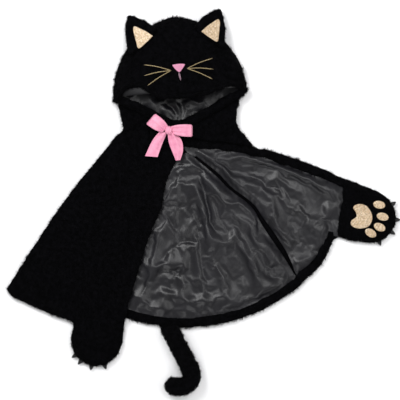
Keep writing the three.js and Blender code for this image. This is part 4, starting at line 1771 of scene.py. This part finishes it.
@dataclass
class Bow:
    """A satin ribbon bow that hides the closure: two loops, two tails and a knot."""

    tailor: Tailor
    thickness: float = 0.9
    knot: tuple[float, float] = (-30, 32)
    knot_angle: float = -16.0
    knot_height: float = 27.2
    knot_size: tuple[float, float, float] = (7.4, 8.4, 6.4)

    def strip(
        self, name: str, left: Points, right: Points, profile: Points, crease: float
    ) -> bpy.types.Object:
        """A ribbon between two edge lines.

        Args:
            name: The piece's name.
            left: One edge, at the neck's place.
            right: The other edge.
            profile: Steps along the ribbon: share of its length, and height above the floor.
            crease: Height of its lengthways creases.

        Returns:
            The ribbon with its thickness.
        """
        count, columns = 44, 15
        share = np.linspace(0, 1, count)
        edges = []
        for points in (left, right):
            line = smooth_line(points, 0.5)
            edges.append(line[np.linspace(0, len(line) - 1, count).astype(int)])
        heights = np.array(profile)
        tall = np.interp(share, heights[:, 0], heights[:, 1])
        tall = np.convolve(np.pad(tall, 3, mode="edge"), np.ones(7) / 7, mode="valid")
        across = np.linspace(0, 1, columns)
        rows = []
        for j in range(count):
            flat = edges[0][j] * (1 - across)[:, None] + edges[1][j] * across[:, None]
            near = 1 - smoothstep(np.array([share[j] / 0.75]))[0]
            wave = crease * (0.35 + near) * np.sin(across * 2 * math.pi * 1.5 + 2.2 * share[j] + crease)
            bulge = 1.6 * np.sin(across * math.pi)
            rows.append(np.column_stack([NECK.world(flat), FLOOR + tall[j] + wave + bulge]))
        made = grid_piece(name, np.stack(rows))
        thicken(made, self.thickness)
        return made

    def loop(self, name: str, root: Points, far: Points) -> bpy.types.Object:
        """A ribbon loop that runs out from the knot, turns and comes back over itself.

        Args:
            name: The piece's name.
            root: The two corners at the knot.
            far: The two corners at the turn.

        Returns:
            The loop with its thickness.
        """
        turn = (
            (0, 21.5), (0.4, 19.5), (0.8, 20.5), (0.985, 24.5), (0.93, 30), (0.6, 33.5), (0.2, 30), (0, 27),
        )
        path = smooth_line(turn, 0.25)
        steps = path[np.linspace(0, len(path) - 1, 46).astype(int)]
        across = np.linspace(0, 1, 15)
        root_a, root_b, far_a, far_b = (np.array(q, float) for q in (*root, *far))
        rows = []
        for number, (reach, tall) in enumerate(steps):
            open_out = reach**0.75
            a = root_a + (far_a - root_a) * reach + (far_a - far_b) * 0.10 * math.sin(open_out * math.pi)
            b = root_b + (far_b - root_b) * reach - (far_a - far_b) * 0.10 * math.sin(open_out * math.pi)
            top = number > len(steps) / 2
            shrink = 0.0 if top else 0.07
            a, b = a + (b - a) * shrink, b + (a - b) * shrink
            flat = a * (1 - across)[:, None] + b * across[:, None]
            gather = (1 - reach) ** 1.2 * 1.7 * np.sin(across * 2 * math.pi * 2.5 + (0 if top else 1.5))
            belly = (2.4 if top else 0.6) * np.sin(across * math.pi) * (0.4 + 0.6 * reach)
            dent = 2.2 * np.exp(-(((across - 0.42) / 0.14) ** 2)) * math.sin(reach * math.pi) * int(top)
            rows.append(np.column_stack([NECK.world(flat), FLOOR + tall + gather + belly - dent]))
        made = grid_piece(name, np.stack(rows))
        thicken(made, self.thickness)
        return made

    def middle(self) -> bpy.types.Object:
        """The knot, a puckered barrel round the bow's middle."""
        angle = math.radians(self.knot_angle)
        long, wide, high = self.knot_size
        axis = np.array([math.cos(angle), math.sin(angle), 0])
        side = np.array([-math.sin(angle), math.cos(angle), 0])
        centre = np.array([*NECK.world(np.array([self.knot]))[0], FLOOR + self.knot_height])
        rows = []
        for share in np.linspace(-1, 1, 21):
            size = math.sqrt(max(0.0, 1 - abs(share) ** 3.2)) * (1 + 0.05 * math.cos(share * 9.5))
            ring = []
            for turn in np.linspace(0, 2 * math.pi, 33)[:-1]:
                pucker = 1 + 0.05 * math.sin(share * 12 + 1.2 * math.sin(turn))
                across = wide * math.cos(turn) * size * pucker
                tall = high * math.sin(turn) * size * pucker
                ring.append(centre + axis * share * long + side * across + np.array([0, 0, tall]))
            rows.append(ring)
        made = grid_piece("bow_middle", np.array(rows), close=True)
        seam_up(made)
        smooth(made)
        return made

    def make(self) -> None:
        """Makes all five pieces of the bow."""
        finish = self.tailor.sheet
        left = self.loop("bow_loop_right", ((-42, 28), (-31, 39)), ((-75, 44.5), (-57, 65.5)))
        finish(left, Cloth.RIBBON, "closure", "folded", ["closure_strap"], ["bow_right_loop"])
        right = self.loop("bow_loop_left", ((-27, 39), (-21, 25)), ((17, 43.5), (17, 19)))
        finish(right, Cloth.RIBBON, "closure", "folded", ["closure_strap"], ["bow_left_loop"])
        down = ((0, 25.5), (0.25, 23.6), (0.6, 22.9), (1, 22.6))
        left_edge = ((-46, 32), (-62, 13), (-77.5, -19))
        right_edge = ((-34, 26), (-44, 2), (-52, -21))
        made = self.strip("bow_tail_right", left_edge, right_edge, down, 1.0)
        finish(made, Cloth.RIBBON, "closure", "laid", ["closure_strap"], ["bow_right_tail"])
        left_edge = ((-32, 26), (-30, 8), (-23, -11), (-16, -28))
        right_edge = ((-21, 30), (-5, 14), (-1.5, -7), (-7, -27))
        made = self.strip("bow_tail_left", left_edge, right_edge, down, 1.7)
        finish(made, Cloth.RIBBON, "closure", "laid", ["closure_strap"], ["bow_left_tail"])
        self.tailor.padded(self.middle(), Cloth.RIBBON, "closure", 0.6, ["bow_knot"])


# ---- Mitts ----


@dataclass
class Mitt:
    """One mitt on a front's wrist, with glitter pads and felt claws.

    Attributes:
        tailor: Finishes the pieces.
        name: Which side: right or left.
        place: The wrist, looking towards the fingers.
        palm_up: Whether the pads face up.
        flip: -1 where the mitt is turned over, else 1.
    """

    tailor: Tailor
    name: str
    place: Place
    palm_up: bool
    flip: int
    straight: float = 46.0
    reach: tuple[float, float] = (53.0, 50.0)
    claw_turns: tuple[float, ...] = (38, 3, -26, -60)
    shoulder: Points = ()
    main_pad: Points = (
        (14, 20), (24, 24), (40, 20), (52, 2), (48, -17), (30, -25), (14, -22), (11, -12), (20, -3),
        (18, 6), (11, 14),
    )
    toes: tuple = ((62, 27.5, -3), (72, 5, -6), (69, -16.5, -16), (53, -30.5, -22))
    claw: Points = (
        (-7, -5.6), (-1, -5.4), (5, -3.8), (9.5, -1.6), (11.8, 0.2), (9, 2.4), (4, 4.4), (-1, 5.4), (-7, 5.6),
    )

    def hinge(self) -> Hinge:
        """The bend between the front and the mitt."""
        return Hinge(self.name + "_front", self.name + "_mitt", self.place.at(-7, 0), self.place.at(7, 0))

    def rim(self, inset: float = 0.0) -> list[tuple[float, float]]:
        """The mitt's outline.

        Args:
            inset: How far inside the seam it runs.

        Returns:
            Points from the cuff's one corner round to the other.
        """
        wide, long = self.reach[1] - inset, self.reach[0] - inset
        start = [(-12, -wide + 3), (10, -wide + 1.5)]
        turns = np.radians(np.linspace(-90, 8 if self.shoulder else 90, 31))
        bow = [(self.straight + long * math.cos(t), wide * math.sin(t)) for t in turns]
        end = self.shoulder or ((10, wide - 1.5), (-12, wide - 3))
        return [*start, *bow, *end]

    def dome(self, p: np.ndarray, wide: float = 24.0) -> np.ndarray:
        """How far the mitt has risen: 0 at the seam and 1 in the middle.

        Args:
            p: Points at the mitt's place.
            wide: How far from the seam it goes on rising.

        Returns:
            A share for each point.
        """
        away, _ = distance_to(p, np.array(self.rim()))
        share = np.clip(away / wide, 0, 1)
        return np.sqrt(np.clip(1 - (1 - share) ** 2, 0, 1))

    def top(self, p: np.ndarray) -> np.ndarray:
        """Height of the middle of the upper plush.

        Args:
            p: Points at the mitt's place.

        Returns:
            A height for each point.
        """
        flat_end = smoothstep((p[:, 0] + 12) / 34)
        base, rise = (5.5, 10.0) if self.palm_up else (4.5, 12.2)
        return base + self.dome(p) * rise * (0.45 + 0.55 * flat_end) + 0.9 * cloudy(p, 26, 61.0)

    def bottom(self, p: np.ndarray) -> np.ndarray:
        """Height of the middle of the lower plush."""
        return 3.4 + 0.9 * (1 - self.dome(p))

    def side(self, points: Points) -> list[tuple[float, float]]:
        """Points mirrored where the mitt is turned over."""
        return [(x, y * self.flip) for x, y in points]

    def shells(self) -> None:
        """Makes the two halves of the mitt."""
        upper, lower = ("palm", "back") if self.palm_up else ("back", "palm")
        cloth = {"palm": Cloth.VELOUR, "back": Cloth.PLUSH}
        made = flat_piece(f"{self.name}_mitt_{upper}", self.rim(), 4, self.top, self.place)
        thicken(made, 4.6)
        self.tailor.sheet(
            made, cloth[upper], self.hinge(), "stretched", (), [f"{self.name}_paw_{upper}"], Pile(1.8, 4.4)
        )
        made = flat_piece(f"{self.name}_mitt_{lower}", self.rim(), 5, self.bottom, self.place)
        thicken(made, 4.0)
        self.tailor.sheet(
            made, cloth[lower], self.hinge(), "laid", ["floor"], [f"{self.name}_paw_{lower}"], Pile(2.3, 4.4)
        )

    def pad_height(self, p: np.ndarray) -> np.ndarray:
        """Height of the pads: on the palm where it faces up, else under it."""
        if self.palm_up:
            return self.top(p) + 3.2
        return 0.9 + 0.0 * p[:, 0]

    def pads(self) -> None:
        """Makes the glitter pads."""
        body = self.name + "_mitt"
        thick = 2.6 if self.palm_up else 1.4
        shapes = {"main_pad": rounded(self.side(self.main_pad), 2)}
        for number, (x, y, turn) in enumerate(self.toes, 1):
            toe = Place(x, y, math.radians(turn))
            ring = [(12.4 * math.cos(t), 8.0 * math.sin(t)) for t in np.linspace(0, 2 * math.pi, 33)[:-1]]
            shapes[f"toe_pad_{number}"] = self.side([tuple(q) for q in toe.world(np.array(ring))])
        for name, outline in shapes.items():
            made = flat_piece(f"{self.name}_{name}_glitter", outline, 2.4, self.pad_height, self.place)
            thicken(made, thick)
            node = f"{self.name}_{name}"
            self.tailor.sheet(made, Cloth.GLITTER, body, "stretched", [f"{body}_palm"], [node])

    def claws(self) -> None:
        """Makes the felt claws."""
        for number, turn in enumerate(self.claw_turns, 1):
            t = math.radians(turn)
            x = self.straight + self.reach[0] * math.cos(t)
            y = self.reach[1] * math.sin(t)
            out = Place(x, y, math.atan2(y / self.reach[1] ** 2, (x - self.straight) / self.reach[0] ** 2))
            outline = self.side([tuple(q) for q in out.world(np.array(self.claw))])
            tip = self.side([(x, y)])[0]

            def height(p: np.ndarray) -> np.ndarray:
                """Height of the claw, which falls away from its root."""
                far = np.hypot(p[:, 0] - tip[0], p[:, 1] - tip[1])
                return 6.6 - 0.16 * far

            made = flat_piece(f"{self.name}_claw_felt_{number}", outline, 2, height, self.place)
            thicken(made, 2.2)
            body = self.name + "_mitt"
            node = f"{self.name}_claw_{number}"
            self.tailor.sheet(made, Cloth.CLAW, body, "stretched", [f"{body}_palm"], [node])


# ---- Tail ----


@dataclass
class Tail:
    """The stuffed plush tail, in a straight part and a curled part."""

    tailor: Tailor
    radius: float = 17.0
    bend: float = 14.0
    stuffing_start: float = 26.0
    stuffing_inset: float = 4.5
    line: Points = (
        (-72, -236), (-64, -252), (-47, -286), (-29, -320), (-20.5, -341), (-22.5, -356), (-37, -366),
        (-54, -366), (-73, -359),
    )

    def tube(
        self, name: str, start: float, end: float, close: bool, inset: float = 0.0
    ) -> bpy.types.Object:
        """A part of the tail as a soft tube.

        Args:
            name: The piece's name.
            start: Where it starts along the tail, in millimetres.
            end: Where it ends.
            close: Whether its end is rounded off, or tucked in.
            inset: How far inside the tail's surface it lies.

        Returns:
            The tube.
        """
        line = smooth_line(self.line, 2.5)
        far = np.concatenate([[0], np.cumsum(np.linalg.norm(np.diff(line, axis=0), axis=1))])
        keep = (far >= start) & (far <= end)
        spots, far = line[keep], far[keep]
        along = np.gradient(spots, axis=0)
        along /= np.linalg.norm(along, axis=1)[:, None]
        side = np.stack([along[:, 1], -along[:, 0]], axis=1)
        turns = np.linspace(0, 2 * math.pi, 29)[:-1]
        rows = []
        for number, spot in enumerate(spots):
            lump = 1 + 0.05 * noise.noise(Vector((far[number] / 24, 5.0, 0)))
            left = max(0.0, far[-1] - far[number])
            edge = min(1.0, left / self.radius) if close else min(1.0, 0.8 + left / 12)
            size = (self.radius - inset) * lump * math.sqrt(max(0.0, 1 - (1 - edge) ** 2))
            rooted = 0.2 + 0.8 * float(smoothstep(np.array([far[number] / 30]))[0])
            wide = size * np.cos(turns)
            tall = size * np.sin(turns) * rooted
            ring = spot[None] + side[number][None] * wide[:, None]
            rows.append(np.column_stack([ring, FLOOR + self.radius * rooted + 0.6 + tall]))
        made = grid_piece(name, np.array(rows), close=True)
        only(made)
        bpy.ops.object.mode_set(mode="EDIT")
        bpy.ops.mesh.select_all(action="SELECT")
        bpy.ops.mesh.remove_doubles(threshold=0.2 * MM)
        bpy.ops.mesh.select_all(action="DESELECT")
        bpy.ops.mesh.select_non_manifold()
        bpy.ops.mesh.fill_holes(sides=0)
        bpy.ops.mesh.select_all(action="SELECT")
        bpy.ops.mesh.normals_make_consistent(inside=False)
        bpy.ops.object.mode_set(mode="OBJECT")
        smooth(made)
        return made

    def make(self) -> None:
        """Makes both parts of the tail."""
        line = smooth_line(self.line, 2.5)
        far = np.concatenate([[0], np.cumsum(np.linalg.norm(np.diff(line, axis=0), axis=1))])
        middle = (TAIL_ROOT.to_2d() + TAIL_BEND.to_2d()) / 2
        cut = far[np.argmin(np.hypot(line[:, 0] - middle.x, line[:, 1] - middle.y))]
        root = Hinge("cape_body", "tail_base", TAIL.at(-self.bend, 0), TAIL.at(self.bend, 0))
        made = self.tube("tail_upper", 0, cut + 6, False)
        self.tailor.padded(made, Cloth.PLUSH, root, 0.9, ["tail_upper_shell"], TAIL_PILE)
        reach = (TAIL_BEND - TAIL_ROOT).length
        bend = Hinge("tail_base", "tail_end", TAIL.at(reach - self.bend, 0), TAIL.at(reach + self.bend, 0))
        made = self.tube("tail_curled", cut - 4, far[-1], True)
        self.tailor.padded(made, Cloth.PLUSH, bend, 0.9, ["tail_tip"], TAIL_PILE)
        made = self.tube("tail_stuffing", self.stuffing_start, cut - 2, True, self.stuffing_inset)
        self.tailor.padded(made, Cloth.FILLING, "tail_base", 0.9, ["tail_upper_filling"])


# ---- Studio ----


@dataclass
class Studio:
    """A plain white floor, soft light and a camera that looks straight down."""

    centre: tuple[float, float] = (-0.004, 0.004)
    height: float = 3.0
    lens: float = 135.0
    sky: float = 0.42
    floor_width: float = 12.0
    white: tuple = (0.93, 0.93, 0.94, 1)
    lamps: tuple = (
        ("key", (-1.2, 1.3, 2.0), 1.0, 42),
        ("over", (0.5, 0.9, 2.5), 0.9, 20),
        ("fill", (1.8, -0.2, 1.7), 1.2, 12),
        ("low", (-0.6, -1.8, 1.3), 0.9, 9),
    )

    def floor(self) -> None:
        """Makes the floor."""
        bpy.ops.object.select_all(action="DESELECT")
        bpy.ops.mesh.primitive_plane_add(size=self.floor_width, location=(0, 0, (FLOOR - 0.6) * MM))
        made = bpy.context.object
        made.name = "floor"
        white = bpy.data.materials.new("white_floor")
        white.use_nodes = True
        shader = white.node_tree.nodes["Principled BSDF"]
        shader.inputs["Base Color"].default_value = self.white
        shader.inputs["Roughness"].default_value = 0.6
        made.data.materials.append(white)

    def light(self, name: str, place: tuple, size: float, power: float) -> None:
        """Adds a square soft light that points at the middle of the cape.

        Args:
            name: The lamp's name.
            place: Where it hangs, in metres.
            size: Its width in metres.
            power: Its power in watts.
        """
        lamp = bpy.data.lights.new(name, "AREA")
        lamp.energy, lamp.size = power, size
        made = bpy.data.objects.new(name, lamp)
        made.location = place
        made.rotation_euler = (Vector((*self.centre, 0)) - Vector(place)).to_track_quat("-Z", "Y").to_euler()
        bpy.context.scene.collection.objects.link(made)

    def make(self) -> None:
        """Makes the floor, the lights, the world and the camera."""
        self.floor()
        for name, place, size, power in self.lamps:
            self.light(name, place, size, power)
        world = bpy.data.worlds.new("studio")
        world.use_nodes = True
        world.node_tree.nodes["Background"].inputs["Color"].default_value = (1, 1, 1, 1)
        world.node_tree.nodes["Background"].inputs["Strength"].default_value = self.sky
        scene = bpy.context.scene
        scene.world = world
        scene.view_settings.view_transform = "Standard"
        camera = bpy.data.objects.new("camera", bpy.data.cameras.new("camera"))
        camera.data.lens = self.lens
        camera.location = (*self.centre, self.height)
        scene.collection.objects.link(camera)
        scene.camera = camera


def main() -> None:
    """Makes the whole cape, piece by piece."""
    logging.basicConfig(level=logging.INFO, format="%(message)s")
    Studio().make()
    tailor = Tailor()
    back, left = Back(tailor), LeftFront(tailor)
    hood = Hood(tailor, HoodShape())
    linings = [back.lining(), left.lining(), hood.lining()]
    Drape().run([(made, edge_pins(made)) for made in linings], rest=5.2)
    back.outer()
    back.finish_lining(linings[0])
    back.hem()
    right = RightFront(tailor)
    right.outer()
    right.lining()
    right.facing()
    left.outer()
    left.finish_lining(linings[1])
    left.rims()
    neck = Neck(tailor)
    neck.yoke()
    neck.corner()
    neck.side()
    neck.facing()
    neck.closure()
    hood.back()
    hood.face()
    hood.lip()
    hood.finish_lining(linings[2])
    hood.features()
    Ear(tailor, -1, "right_ear", (9.0, -2.5)).make()
    Ear(tailor, 1, "left_ear", (-2.0, -1.5)).make()
    Bow(tailor).make()
    for mitt in (
        Mitt(
            tailor, "left", LEFT_MITT, True, 1,
            shoulder=((97, 15), (92, 26), (83, 37.5), (70, 47), (46, 55), (10, 64), (-12, 68)),
        ),
        Mitt(tailor, "right", RIGHT_MITT, False, -1, claw_turns=(44, 27, 1, -28)),
    ):
        mitt.shells()
        mitt.pads()
        mitt.claws()
    Tail(tailor).make()


if __name__ == "__main__":
    main()
